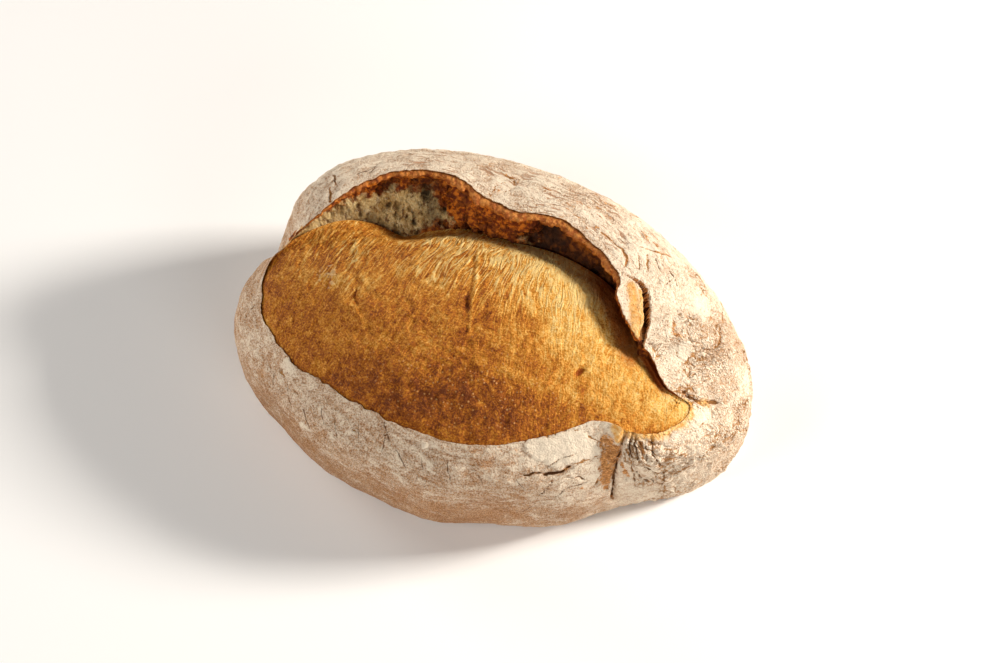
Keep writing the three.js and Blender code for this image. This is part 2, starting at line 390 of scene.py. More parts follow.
# Folds and cracks in the crust: path, half-width, depth, steepness of the sides,
# how bare the bottom is, and how dark it is: partly baked crust, partly painted shade in the crack
folds = [
    # the deep fold down the front right, and the pleats beside it
    ([(76.8, -46.5, 78.5), (76.6, -49, 77), (76, -52.2, 73), (75.7, -54.8, 66.3), (75.2, -56.5, 58.7),
      (75.7, -58, 49.1), (76.5, -58, 28)], 1.1, 2.6, 2, 0.8, 0.95),
    ([(80.2, -44.5, 78.6), (79.9, -47.9, 78), (79.8, -51.4, 74.9), (81.7, -54.7, 69.6)],
     0.7, 1.3, 2, 0.8, 0.9),
    ([(81.6, -47, 77.6), (82.4, -50.8, 75.3), (83.3, -51.7, 74.3), (85.4, -54.7, 68.1)],
     0.5, 0.9, 2, 0.6, 0.9),
    ([(84.6, -49.6, 76), (86.3, -51.2, 73.7), (87.4, -53.2, 69)], 1.3, 0.9, 4, 1.0, 0.25),
    ([(86.8, -48.6, 76.4), (88.9, -50.9, 72.5), (89.2, -53, 66.5)], 0.5, 0.9, 2, 0.5, 0.9),
    ([(88, -45, 77), (90.4, -47.3, 74.8), (91.7, -51.1, 69.5), (93.8, -51.1, 64.2), (95.9, -49.2, 56.6)],
     0.6, 0.9, 2, 0.5, 0.9),
    ([(90.5, -41.5, 76.8), (93.2, -43.5, 75)], 0.5, 0.6, 2, 0.5, 0.85),
    ([(77.7, -55, 64.8), (79.7, -55.9, 58.3), (81.5, -55.6, 49.4)], 1.5, 0.5, 4, 0.85, 0.25),
    ([(82.4, -55.5, 64.2), (83.6, -54.8, 54), (84.8, -53.4, 43)], 0.6, 0.9, 2, 0.5, 0.8),
    # short creases below them, across the run of the pleats
    ([(84.9, -54.6, 54.7), (87.2, -52.3, 45.4), (90.3, -50.4, 40.5)], 0.5, 0.8, 2, 0.4, 0.9),
    ([(88.2, -53.7, 59.1), (90.9, -51.5, 53.4), (93.5, -49.5, 48.9)], 0.5, 0.8, 2, 0.5, 0.9),
    ([(91.1, -50.2, 43.6), (93.9, -48.5, 37.7), (97.2, -46.3, 30.1)], 0.5, 0.8, 2, 0.4, 0.9),
    ([(96.9, -47.4, 48), (97.8, -46.2, 35.6), (99.4, -44.9, 28.8)], 0.5, 0.7, 2, 0.5, 0.8),
    # the crease running on from the tip
    ([(97, -18, 77), (100, -19, 76), (103.5, -18.8, 74), (106.8, -17.8, 72), (110, -15.2, 71),
      (114, -13.4, 69)], 1.3, 1.8, 2, 0.8, 0.75),
    # scabby cracks on the ear's crest
    ([(-16, 43, 103.5), (-15.9, 51.7, 102), (-13, 55, 100.5), (-6.7, 57.7, 99.5)], 0.5, 0.6, 2, 0.7, 0.5),
    ([(-17, 62, 96.3), (-11, 58.7, 98.3), (-7.4, 60, 97.6), (-2, 62.4, 96.9)], 0.4, 0.5, 2, 0.7, 0.6),
    ([(-10.6, 49, 102.8), (-7, 53, 101.5), (-9, 58, 99)], 0.4, 0.4, 2, 0.6, 0.5),
    # open cracks low on the front, and the thin one that forks from them
    ([(37, -75, 62.6), (41, -73.5, 63.5), (44, -73, 64)], 0.8, 0.9, 3, 0.8, 0.9),
    ([(46, -72.5, 63), (50, -70.5, 63.6), (53, -69, 64), (56.5, -66, 65.8)], 1.3, 1.3, 3, 1.0, 1.0),
    ([(44, -71.5, 65), (47, -68.5, 67), (49.9, -65.4, 69), (57, -60.6, 70.3)], 0.45, 0.5, 2, 0.5, 0.9),
    ([(51, -75, 47.5), (56, -71.4, 54), (61.2, -68, 55), (65, -66, 55)], 0.5, 0.6, 2, 0.5, 0.9),
    ([(54.7, -68.8, 60.6), (57.6, -68.4, 59.6)], 0.4, 0.4, 2, 0.7, 0.7),
    ([(59.2, -67.4, 59.6), (61, -66.8, 60), (62.9, -66.2, 57)], 0.6, 0.7, 2, 0.7, 0.9),
    ([(45, -77, 50), (47.2, -75.3, 54.7), (49.4, -73, 58.9)], 0.45, 0.5, 2, 0.5, 0.9),
    ([(65, -65, 50), (68.1, -63.4, 51.4), (69.3, -61.5, 56.8)], 0.5, 0.6, 2, 0.8, 0.7),
    # on the left end of the ear
    ([(-94, 39, 93.5), (-91, 33, 95.5)], 0.6, 0.6, 2, 0.8, 0.8),
    ([(-93.7, 31, 94.3), (-90, 23, 95)], 0.8, 0.7, 2, 1.0, 0.6),
    ([(-82.7, 40, 98), (-79.3, 43, 98.5), (-76.5, 46, 98.6), (-75, 52, 96.6)], 0.5, 0.5, 2, 0.5, 0.9),
    ([(-77, 41.6, 99.2), (-75.2, 45.3, 99)], 0.5, 0.4, 2, 0.5, 0.8),
    # the curved crack over the ear, and the fold lines right of it
    ([(40, 39.5, 103), (45, 38.5, 103), (52, 35, 102), (55.5, 30, 101.5), (55.5, 26, 101)],
     0.8, 0.7, 2, 0.9, 0.5),
    ([(59.4, 40.5, 98.6), (66.7, 41, 95.8), (74, 44.4, 90.6)], 0.5, 0.5, 2, 0.8, 0.4),
    ([(63.5, 38, 98), (66.3, 28, 98)], 0.7, 0.5, 2, 0.9, 0.5),
    ([(60.5, 34.5, 99.5), (62, 27.7, 99)], 0.5, 0.4, 2, 0.6, 0.4),
    ([(67.8, 37, 96.4), (71.7, 32, 95.4)], 0.5, 0.5, 2, 0.4, 0.8),
    ([(76, 34.8, 92.8), (81.4, 29.4, 90.4)], 0.6, 0.6, 2, 0.4, 0.8),
    ([(75, 25.2, 94), (78, 30, 93)], 0.5, 0.4, 2, 0.4, 0.7),
    ([(101.4, 41, 65), (104, 33, 70), (106, 27, 73)], 0.7, 0.6, 2, 0.8, 0.6),
    ([(106, 22, 77), (107.3, 9.7, 79), (105, 5, 80.5), (101.4, 3.7, 81.2)], 0.7, 0.8, 2, 0.7, 0.35),
    ([(83.5, 10.3, 92), (84.5, 4, 91.6), (86, -0.4, 90.5)], 1.2, 0.7, 2, 0.7, 0.2),
    # the valley in the left end below the ear's root
    ([(-108, 9, 72), (-114, 11, 64), (-122, 13, 52), (-127, 14, 38), (-125, 14, 20)], 6, 4, 2, 0.0, 0.0),
]

# Short thin cracks in the crust: from, to, and width against slashWidth
slashes = [
    ((-32.5, -69.5, 68.5), (-29, -76, 65.5), 1.5), ((-31.5, -74, 66.5), (-31, -81, 60.5), 1.1),
    ((-24.5, -79, 63), (-18.5, -84.5, 58), 1.2), ((0.5, -79.5, 65), (4, -84.5, 58.5), 1.2),
    ((-12, -80.5, 63.5), (-10.5, -84, 60), 0.9), ((-75, -68, 55.5), (-70, -75, 50), 1.1),
    ((-66, -66, 60.5), (-63, -72.5, 56.5), 0.9), ((-58, -71, 60.5), (-54, -77.5, 55.5), 0.8),
    ((-85, -60, 57), (-82, -66, 52), 0.9), ((-94, -52, 56), (-92, -57, 51), 0.8),
    ((-46, -71.5, 64), (-44, -78, 59), 0.7), ((16, -82, 62.5), (19, -84.5, 58.5), 0.8),
    ((36, -80, 33), (42.6, -78.2, 41), 1.1), ((23.5, -82.4, 35.5), (31.7, -80.8, 38), 0.9),
    ((33, -76, 60), (38, -77, 55), 0.8), ((-112, -24, 62), (-116, -28, 54), 0.8),
]

# Bare and golden places on the crust: middle, spread and strength
bareSpots = [
    ((-113, -33, 59), 5, 0.35), ((-100.7, -54, 52), 4, 0.6), ((-103, -50, 45), 7, 0.35),
    ((-2.4, -78, 66), 3.2, 0.6), ((7.6, -87, 41), 5, 0.5), ((105, -42, 60), 6, 0.5),
    ((119, -28, 38), 6, 0.4), ((101, 22, 80), 6, 0.55), ((87, 5, 90), 7, 0.55),
    ((-13, 50, 101), 6, 0.45), ((-50, -80, 45), 14, 0.4), ((-75, -70, 40), 12, 0.4),
    ((30, -84, 30), 12, 0.4), ((37, 44, 102), 7, 0.35), ((8, 52, 101), 9, 0.3), ((24, 54, 100), 8, 0.4),
    ((85, -5, 86), 5, 0.45), ((98, 4, 85), 6, 0.4), ((66, 33, 98), 5, 0.4), ((100, -48, 62), 10, 0.4),
    ((62, -68.4, 51), 4, 0.55), ((64.3, -67.3, 39.7), 4, 0.5), ((69.5, -63, 37.7), 5, 0.6),
    ((72.6, -60, 25), 6, 0.6), ((31, -67.2, 72.2), 2.5, 0.5), ((-2, -78.5, 65), 2.5, 0.55),
    ((15, -83, 46), 9, 0.45),
]
goldSpots = [
    ((73.5, -46.5, 78.6), 4.4, 1.2), ((74.2, -50, 76), 2.4, 1.2), ((80, -42.5, 79.4), 3.6, 1.1),
    ((85.5, -42.5, 78.5), 4.4, 1.2), ((91, -39.5, 77.5), 4.8, 1.1), ((100, -26, 76), 6, 1.1),
    ((108, -17, 71), 4.0, 0.7), ((-106, 5, 79), 6, 1.0), ((-99, 9, 84), 4, 0.7),
    ((66.5, 5, 95), 2.2, 0.8), ((64.8, 10.5, 96), 1.8, 0.7), ((68.0, -1.5, 95), 2.2, 0.9),
    ((70.2, 5.0, 94), 1.5, 0.9), ((70.6, 0.5, 94), 1.6, 0.9), ((70.0, -4, 94), 2.2, 1.0),
]
# bands along the tongue, left of the slit: path, half-width, gold and bareness
bands = [
    ([(65.9, 16.5), (67.7, 11.5), (68.7, 7), (69.5, 2), (70.1, -5)], 2.0, 1.0, 0),
    ([(60.6, 16.5), (62.7, 13), (64.4, 9.5), (65.9, 4.8), (67.3, -1), (68.2, -5)], 2.9, 0.7, 0.75),
]
# where the skin is smooth, and flakes of thick flour: middle, and spread or size
smoothSpots = [((91, -3, 84), 5), ((108, -23, 69), 6), ((121, 8, 58), 8), ((95, 25, 84), 9)]
flakes = [((-86.6, -53.3, 62.5), 5.0), ((-57, -77.7, 54), 3.2), ((-73.6, -73.3, 48.3), 2.6),
          ((-49, -76.4, 59), 2.4), ((-18.4, -76.6, 66), 2.0), ((-8, -82.6, 61.4), 2.6),
          ((-11.4, -75.6, 67.5), 2.6), ((92, -1, 85), 5.0), ((105, -27, 71), 4.5), ((41, -63, 73), 7.0),
          ((50, -61, 72.5), 8.5), ((58, -57, 73), 7.5), ((62, -56, 71), 5.5)]


def flouredCrust():
    # Baked wheat crust under raw flour: dry, chalky and dull, with warm tan crust
    # showing where the flour is thin and where the skin has cracked
    material, shader, add, place = startMaterial(
        "flouredCrust", Roughness=0.92, IOR=1.45, **{"Specular IOR Level": 0.2})
    flour, bare, gap, deep, gold, crackle, pucker, slash, streaky = (
        add("Attribute", output="Fac", attribute_name=name)
        for name in ("flour", "bare", "gap", "deep", "gold", "crackle", "pucker", "slash", "streaky"))
    around = add("Attribute", output="Vector", attribute_name="around")
    # flour grains are finer than this; they clump into specks of about 0.8 mm, and lie
    # in blots and patches
    dust, blots, patches = (
        add("TexNoise", {"Vector": place, "Scale": 1 / size, "Detail": detail, "Roughness": rough})
        for size, detail, rough in ((0.8, 2.0, 0.65), (2.2, 3.0, 0.6), (9, 4.0, 0.6)))
    # thickness of the flour: the piece's own map, roughened at the three sizes
    cover = flour
    for noise, strength in ((patches, 0.5), (blots, 0.9), (dust, 2.2)):
        cover = add("Math", [noise, strength, cover], **timesPlus)
    cover = add("MapRange", [cover, 1.5, 2.75], **eased)
    grain = add("TexNoise", {"Vector": place, "Scale": 1 / 0.6, "Detail": 1.0})
    colour = add("Mix", {0: add("MapRange", [grain, 0.36, 0.6], **eased),
                         6: crust["tan"], 7: crust["darkTan"]}, **colourMix)
    # tan streaks about 1.3 mm apart where the skin was drawn out round the loaf
    streaks = add("TexNoise", {"Vector": around, "Scale": 1 / 1.3, "Detail": 3.0, "Distortion": 0.3})
    streaks = add("Math", [add("MapRange", [streaks, 0.52, 0.64], **eased), streaky], **times)
    # bare crust with torn fibres 0.9 mm thick, and a ragged border
    level = add("Mapping", {"Vector": place, "Scale": (0.5, 0.5, 1)})
    fibres = add("TexNoise", {"Vector": level, "Scale": 1 / 0.9, "Detail": 3.0, "Roughness": 0.6,
                              "Distortion": 0.8})
    ragged = bare
    for noise, strength in ((blots, 0.9), (dust, 1.1)):
        ragged = add("Math", [noise, strength, ragged], **timesPlus)
    brown = add("Mix", {0: add("MapRange", [fibres, 0.38, 0.6], **eased),
                        6: crust["bare"], 7: crust["bareFibres"]}, **colourMix)
    brown = add("Mix", {0: add("MapRange", [blots, 0.5, 0.68, 0, 0.6], **eased),
                        6: brown, 7: crust["bareBlots"]}, **colourMix)
    # cracks: thin lines, broken up by the grain, tan where shallow and dark where deep; the dark is partly
    # baked crust and partly painted shade in the crack
    broken = gap
    for noise, strength in ((blots, 0.9), (dust, 0.5)):
        broken = add("Math", [noise, strength, broken], **timesPlus)
    crack = add("MapRange", [broken, 1.15, 0.8], **eased)
    darkened = add("Mix", {0: add("MapRange", [deep, 0.3, 0.95], **eased),
                        6: crust["shallowCrack"], 7: crust["deepCrack"]}, **colourMix)
    # short thin cracks
    slash = add("Math", [slash], **unsigned)
    slash = add("MapRange", [add("Math", [blots, 1.6, slash], **timesPlus), 1.4, 1.0, 0, 0.85], **eased)
    # hair creases where the skin has crumpled, with puffed skin between them: the lines
    # along which a noise crosses its middle, and those of the piece's own folds
    wrinkled = add("Mapping", {"Vector": place, "Scale": (0.55, 1, 1)})
    crimp = add("TexNoise", {"Vector": wrinkled, "Scale": 1 / 1.9, "Detail": 1.0, "Distortion": 0.6})
    crimp = add("Math", [add("Math", [crimp, -0.5], **plus)], **unsigned)
    creases = add("MapRange", [crimp, 0.05, 0.01, 0, 0.68], **eased)
    puff = add("Math", [add("MapRange", [crimp, 0, 0.13], **eased), crackle], **times)
    pucker = add("Math", [pucker], **unsigned)
    pucker = add("MapRange", [add("Math", [blots, 0.5, pucker], **timesPlus), 0.48, 0.3], **eased)
    creases = add("Math", [add("Math", [creases, pucker], **larger), crackle], **times)
    # golden dough that spread over the edge
    dough = add("Mix", {0: add("MapRange", [blots, 0.35, 0.65], **eased),
                        6: crust["dough"], 7: crust["paleDough"]}, **colourMix)
    for amount, layer in (
            (cover, crust["flour"]),
            (add("Math", [streaks, 0.8], **times), crust["streak"]),
            (add("MapRange", [ragged, 1.36, 1.6, 0, 0.95], **eased), brown),
            (crack, darkened),
            (slash, crust["thinCrack"]),
            (add("Math", [creases, 0.75], **times), crust["crease"]),
            (gold, dough)):
        colour = add("Mix", {0: amount, 6: colour, 7: layer}, **colourMix)
    height = blots
    for part, strength in ((dust, 0.9), (add("Math", [crack, slash], **larger), -0.45),
                           (puff, 0.5), (streaks, -0.4)):
        height = add("Math", [part, strength, height], **timesPlus)
    # thick flour lies smoother than the crust
    depth = add("MapRange", [cover, 0.4, 1, 0.0016, 0.0007], **eased)
    return finishMaterial(material, shader, colour, add("Bump", {"Height": height, "Distance": depth}))


def crustSpacing(count):
    # columns closer together at the right end, where the skin is pleated and cracked
    u = np.linspace(0, 1, 2000)
    closeness = 1 + 1.1 * np.exp(-(np.minimum(u, 1 - u) / 0.16)**2)
    total = np.concatenate([[0], np.cumsum(closeness[1:] + closeness[:-1])])
    return np.interp(np.arange(count) / count, total / total[-1], u)


def crustForm(u):
    # rings from the hidden inside, over the torn edge and the shoulder, to the flat base;
    # also the number of hidden rings
    at = opening(u)
    up = np.array([0, 0, 1.0])
    ear, along, normal = at["ear"], at["along"], at["normal"]
    edge = at["edge"] - along * raggedEdge(at)
    thick = at["skin"]
    height = at["creaseDown"]
    hollow = form["undercut"] * ear

    # from under the burst up behind the torn wall to the torn skin
    inner = [
        at["crease"] + at["inward"] * 10 - up * 12,
        at["crease"] + at["outward"] * (3 + 0.8 * hollow) - up * 6,
        edge + along * (4 + hollow * 0.8 + 2 * ear) - normal * (4 + (0.4 * height - 2) * ear),
        edge + along * 3 - normal * (thick + 0.6),
        edge + along * 0.6 - normal * thick,
        edge - along * 0.15 - normal * thick * 0.5,
    ]

    # the shoulder: a Bezier curve from the edge to the fullest width
    side = at["side"]
    drop = edge[:, 2:] - form["girthHeight"]
    out = np.linalg.norm((side - edge)[:, :2], axis=1)[:, None]
    reach = 0.45 * np.hypot(out, drop)
    rows = (np.arange(crust["shoulderRows"] + 1) / crust["shoulderRows"])**1.4
    shoulder = bezier(edge, edge + along * reach, side + up * 0.55 * drop, side, rows)

    # the foot: a Bezier curve in under the fullest width to the flat base
    low, inset = form["girthHeight"], form["baseInset"]
    foot = bezier(
        side, side - up * 0.58 * low, side - up * low - at["outward"] * 0.25 * inset,
        side - up * low - at["outward"] * inset,
        np.arange(1, crust["footRows"] + 1) / crust["footRows"])
    middle = np.array([*form["openingMiddle"], 0]) + shift
    base = [middle + (foot[-1] - middle) * part for part in (0.93, 0.5)]
    rings = np.concatenate([inner, shoulder, foot, base])
    rings[-3:, :, 2] = 0
    return rings, len(inner)


def raggedEdge(at):
    # how far the torn edge falls back, by noise that is rougher along the ear
    rough = layered(at["edge"], 7, 4, 3)[:, None] + 0.35 * ripple(at["edge"], 1.6, 4)[:, None]
    leftLap = smooth(0, -70, at["edge"][:, :1]) * (1 - at["ear"])
    rightLap = smooth(72, 82, at["edge"][:, :1]) * smooth(-32, -20, at["edge"][:, 1:2])
    rough = rough + 0.9 * rightLap * layered(at["edge"], 3.4, 2, 94)[:, None]
    return rough * crust["raggedness"] * (0.6 + 0.6 * at["ear"] + 1.4 * leftLap)


def slitCut(points):
    # how far in plan from the slit's line, in half-widths that grow from its start, and
    # how deep it cuts: depth * exp(-d^6)
    grown = smooth(-3, 12, np.linalg.norm(points - np.array(crust["slit"][0]), axis=-1))
    away = nearLine(points[..., :2], np.array(crust["slit"])[:, :2]) / (crust["slitHalfWidth"] * grown)
    return away, crust["slitDepth"] * np.exp(-away**6)


def thinCracks(outer, normals, wander):
    # the distance across the nearest short thin crack in slashWidths, with its sign; it
    # grows past the crack's ends
    field = np.full(outer.shape[:2], float(crust["slashFree"]))
    for start, end, width in slashes:
        start, end = np.array(start), np.array(end)
        reach = outer + 0.9 * wander - (start + end) / 2
        half = np.linalg.norm(end - start) / 2
        at = np.unravel_index(np.linalg.norm(reach, axis=-1).argmin(), field.shape)
        forward = (end - start) / (2 * half)
        across = np.cross(normals[at], forward)
        along, aside, above = reach @ forward / half, reach @ across, reach @ normals[at]
        present = smooth(1.3, 0.7, np.abs(along)) * smooth(9, 5, np.abs(above))
        here = aside / (crust["slashWidth"] * width) / np.maximum(present, 0.02)
        field = np.where(np.abs(here) < np.abs(field), here, field)
    return field


def tornWedge(outer):
    # the bare wedge, ragged by noise drawn out level, wide above and narrow below: how
    # far it is sunk, with a low lip round it, and how bare it is
    z = outer[..., 2]
    fibres = 0.9 * ripple(outer * (0.4, 0.4, 1), 2.8, 15) + 0.9 * ripple(outer, 6, 16)
    halfWidth = 3.7 + 1.0 * np.exp(-((z - 66) / 8)**2) - 2.4 * smooth(55, 41, z)
    out = nearLine(outer, crust["wedge"]) / halfWidth + 0.22 * fibres + 0.28 * ripple(outer, 2.2, 88)
    torn = smooth(1.55, 0.45, out)
    lip = 0.35 * np.exp(-((out - 1.3) / 0.16)**2)
    return (torn * (0.2 * fibres + 0.25 * ripple(outer, 2.4, 89) - 0.5) + lip,
            torn * (0.72 + 0.2 * fibres + 0.2 * ripple(outer, 3, 90)))


def makeCrust():
    u = crustSpacing(crust["columns"])
    rings, first = crustForm(u)
    outer = rings[first:]
    x, y, z = np.moveaxis(outer, -1, 0)
    right = smooth(58, 92, x) * smooth(-86, -58, y + 0.25 * (x - 60))
    front = smooth(-30, -60, y)
    low = smooth(1, 10, z)
    fromEdge = np.linalg.norm(outer - outer[0], axis=-1)
    warp = drift(outer, 9, 21, 22, 23)
    wander = 0.9 * warp + 0.7 * drift(outer, 2.6, 24, 25, 26)

    # lumps and pits, and streaks drawn out round the loaf
    relief = crust["lumpHeight"] * layered(outer, 5, 3, 7) + crust["hollowDepth"] * ripple(outer, 8, 27)
    normals = normalsOf(rings)[first:]
    middleX, middleY = form["openingMiddle"]
    turned, farOut = np.arctan2(y - middleY, x - middleX), np.hypot(x, y - middleY)
    drawn = np.stack([turned * 7, farOut / 2.1, z / 2.1], -1) + 0.3 * warp
    streaks = layered(drawn, 1, 2, 9)
    streakHeight = crust["streakHeight"] + crust["earStreakHeight"] * smooth(15, 40, y)
    relief += streakHeight * streaks * (1 - 0.7 * right)

    # crumpled skin: puffs of two sizes, sqrt(|noise|), with a crease wherever the noise
    # changes sign, split into small plates by cracks
    calm = np.ones_like(x)
    for centre, spread in smoothSpots:
        calm = calm * (1 - 0.85 * np.exp(-(np.linalg.norm(outer + 2 * warp - centre, axis=-1) / spread)**4))
    crumple = right * calm * (0.45 + 0.55 * smooth(-0.4, 0.4, ripple(outer, 16, 28)))
    wavy = outer + warp * 2.6
    (coarseSize, coarseHeight), (finerSize, finerHeight) = crust["puffs"]
    coarse = ripple(wavy * crust["creaseRun"], coarseSize, 5)
    finer = ripple((wavy + warp * 2) * crust["creaseRun"], finerSize, 6)
    puffs = coarseHeight * np.sqrt(np.abs(coarse)) + finerHeight * np.sqrt(np.abs(finer)) - 1.3
    relief += crumple * puffs
    relief -= 0.8 * right * smooth(0, 0.7, ripple(outer, 15, 85))    # broad hollows among them
    pucker = np.where(ripple(outer, 10, 86) > -0.1, 2.6 * coarse, 1.5 * finer)
    near, second, tag = bubbles(outer + warp * 1.6, crust["plateSize"], 8)
    seam = np.exp(-((second - near) / 0.12)**2)
    plated = crumple * smooth(-0.35, 0.25, ripple(outer, 13, 12))
    relief += plated * (crust["plateStep"] * (tag - 0.5) - crust["plateStep"] * seam)
    gap = 1.7 * (second - near) + 0.1 + 2 * (1 - smooth(0.25, 0.7, plated))
    bare = crumple * 0.36 * smooth(-0.35, -1.05, puffs + 0.5 * ripple(outer, 5, 87))

    # pleats that fan out from the pinch: |sin| of the angle round it, so that the
    # creases are sharp and the crests round
    reach = outer - np.array(crust["pinch"])
    away = np.linalg.norm(reach, axis=-1)
    turn = np.arctan2(reach[..., 0] + 0.35 * reach[..., 1], -reach[..., 2] + 1e-6)
    phase = turn * crust["pleats"] + 1.3 * ripple(outer, 11, 10) + 0.5 * ripple(outer, 4, 30)
    pleat = np.abs(np.sin(phase))
    sector = smooth(1.5, 6, away) * smooth(46, 20, away)
    sector = sector * smooth(-0.3, -0.05, turn) * smooth(1.7, 1.2, turn)
    sector *= smooth(2.5, 6, lengths(outer - (77, -47.5, 78)))
    relief += sector * (crust["pleatDepth"] * pleat - 0.9) - 0.5 * crumple * sector * puffs
    relief += 1.5 * np.exp(-(lengths(outer - (76, -50, 75.5)) / 4.5)**2)     # the raised pinch
    gap = np.minimum(gap, pleat * (away + 2) / crust["pleats"] + 0.05 + 3 * (1 - sector)
                     + 0.5 * smooth(-0.2, 0.5, ripple(outer, 6, 31)))
    relief *= smooth(0.3, 4, fromEdge)

    deep = 0.3 * sector
    broken = 0.7 * smooth(-0.1, 0.6, ripple(outer, 3.4, 32))
    worn = smooth(-0.4, 0.3, ripple(outer, 5, 78))
    for path, halfWidth, depth, steepness, bareness, darkness in folds:
        away = nearLine(outer + wander * min(0.7, halfWidth + 0.2), path, normals)
        groove = np.exp(-(away / halfWidth)**steepness)
        relief -= depth * groove
        bared = bareness * np.exp(-(away / (0.25 + 0.6 * halfWidth))**2)
        bare = np.maximum(bare, bared * (0.55 + 0.45 * worn))
        if darkness > 0.3:
            beside = away - 0.55 * halfWidth + 0.22 + broken * min(1, halfWidth)
            gap = np.minimum(gap, np.maximum(beside, 0))
            deep = np.maximum(deep, 0.85 * darkness * np.exp(-(away / (halfWidth + 0.8))**2))
    away, cut = slitCut(outer + 0.5 * wander)
    relief -= cut
    sides = smooth(1.65, 1.15, away)
    bare = np.maximum(bare, 0.6 * smooth(2.0, 1.6, away))
    # the slit's walls take the dark crack colour: painted shade with the baked crust
    deep = np.maximum(deep, sides)
    gap = np.minimum(gap, 3 - 3 * sides)

    slash = thinCracks(outer, normals, wander)
    sunk, bared = tornWedge(outer)
    relief += sunk
    bare = np.maximum(bare, bared)

    gold = np.zeros_like(x)
    for centre, spread, strength in bareSpots:
        spot = strength * np.exp(-(lengths(outer - centre, normals) / spread)**2)
        bare = np.maximum(bare, spot * smooth(-0.6, 0.5, ripple(outer, 3, 17)))
    for centre, spread, strength in goldSpots:
        spot = strength * np.exp(-(lengths(outer - centre, normals) / spread)**2)
        gold = np.maximum(gold, smooth(0.3, 0.7, spot + 0.2 * ripple(outer, 3.2, 18)))
    # dough that ran out over the edge beside the pinch
    lapped = smooth(4.0 + 2.2 * ripple(outer, 6, 95), 1.2, fromEdge + 0.8 * ripple(outer, 2.4, 96))
    gold = np.maximum(gold, 0.95 * lapped * smooth(69, 75, x) * smooth(-26, -33, y))
    for path, halfWidth, golden, bareness in bands:
        away = nearLine((outer + 0.4 * wander)[..., :2], path) / halfWidth
        band = np.exp(-np.abs(away)**2.5) * smooth(80, 88, z)
        gold = np.maximum(gold, golden * band * (1 - sides))
        bare = np.maximum(bare, bareness * band)

    # tan flecks drawn out along the ear
    fleck = np.stack([turned * 9, farOut / 1.4, z / 1.4], -1) + 0.3 * warp
    fleck = layered(fleck, 1, 2, 75) + 0.5 * ripple(outer, 14, 76)
    bare = np.maximum(bare, 0.58 * smooth(0.1, 0.7, fleck) * smooth(15, 40, y) * smooth(-90, -20, x) * worn)

    # flakes of thick flour, each with a broken line round it
    outside = np.full_like(x, 9.0)
    for centre, size in flakes:
        away = np.linalg.norm(outer + warp * 1.5 + wander * 1.2 - centre, axis=-1)
        outside = np.minimum(outside, away - size)
    thick = smooth(0.3, -0.7, outside)
    relief += crust["flakeHeight"] * thick
    gap = np.minimum(gap, np.abs(outside - 0.2) + 1.6 * smooth(0.2, -0.5, ripple(outer, 4, 19)))

    relief = (relief + swell(outer) * smooth(0, 14, fromEdge)) * low
    moved = normalsOf(rings)[first:] * relief[..., None]
    rings[first:] += moved
    rings[first - 3:first] += moved[0]
    rings = np.clip(rings, boxLow, boxHigh)

    # flour: thicker to the right and on the ear, thinner low on the front, and patchy
    flour = 0.42 + 0.3 * smooth(20, 80, x) * smooth(130, 100, x) + 0.16 * smooth(0, 45, y)
    flour -= (0.06 + 0.4 * smooth(60, 25, z)) * front * (1 - 0.8 * right)
    flour -= 0.12 * front * np.exp(-((x + 8) / 45)**2) * smooth(76, 60, z)
    flour += 0.12 * ripple(outer, 26, 14) + (0.16 + 0.14 * smooth(15, 40, y)) * layered(outer, 9, 2, 20)
    flour += 0.3 * streaks * (1 - right)
    # where the skin was drawn out: along the ear, and in level patches low on the front
    streaky = smooth(12, 36, y) * smooth(-100, -50, x) * smooth(-0.5, 0.25, ripple(outer, 15, 91))
    level = 0.8 * front * smooth(58, 40, z) * smooth(-0.2, 0.4, ripple(outer, 18, 92))
    streaky = np.maximum(streaky, level)
    streaky *= 1 - 0.8 * right
    around = np.stack([14 * np.cos(turned), 14 * np.sin(turned), fromEdge], -1) + 0.25 * warp
    flour += 0.45 * thick - 0.1 * smooth(-60, -100, x) * smooth(70, 45, z) + 0.3 * right * (1 - calm)
    flour -= 0.16 * smooth(-100, -112, x) * smooth(-45, -25, y)
    flour -= 0.4 * blob(x, y, (106, 18), (17, 20)) * smooth(45, 65, z)
    pad = np.zeros((first, len(u)))
    # no dark line at the seam where the dough runs out over the edge, and an uneven one
    # elsewhere: partly the torn crust's own brown, partly painted shade under the lifted skin
    seam = smooth(42, 60, x[0]) * smooth(-22, -30, y[0])
    uneven = smooth(-0.5, 0.2, ripple(outer[0], 7, 81))
    marks = {                # on the hidden rings, and on the rest
        "flour": (pad, flour),
        "bare": (pad + 1, np.clip(bare, 0, 1)),
        "gap": (pad + 3 * seam + 0.3 * (1 - uneven), np.clip(gap, 0, 3)),
        "deep": (pad + 0.3 + 0.35 * uneven, np.clip(deep, 0, 1)),
        "gold": (pad + seam, np.clip(gold, 0, 1)),
        "crackle": (pad, np.clip(1.3 * crumple, 0, 1)),
        "pucker": (pad + 3, pucker),
        "slash": (pad + crust["slashFree"], slash),
        "streaky": (pad, streaky),
        "around": (np.zeros((*pad.shape, 3)), around),
    }
    marks = {mark: np.concatenate(parts) for mark, parts in marks.items()}
    return skin("flouredCrust", rings, flouredCrust(), marks)


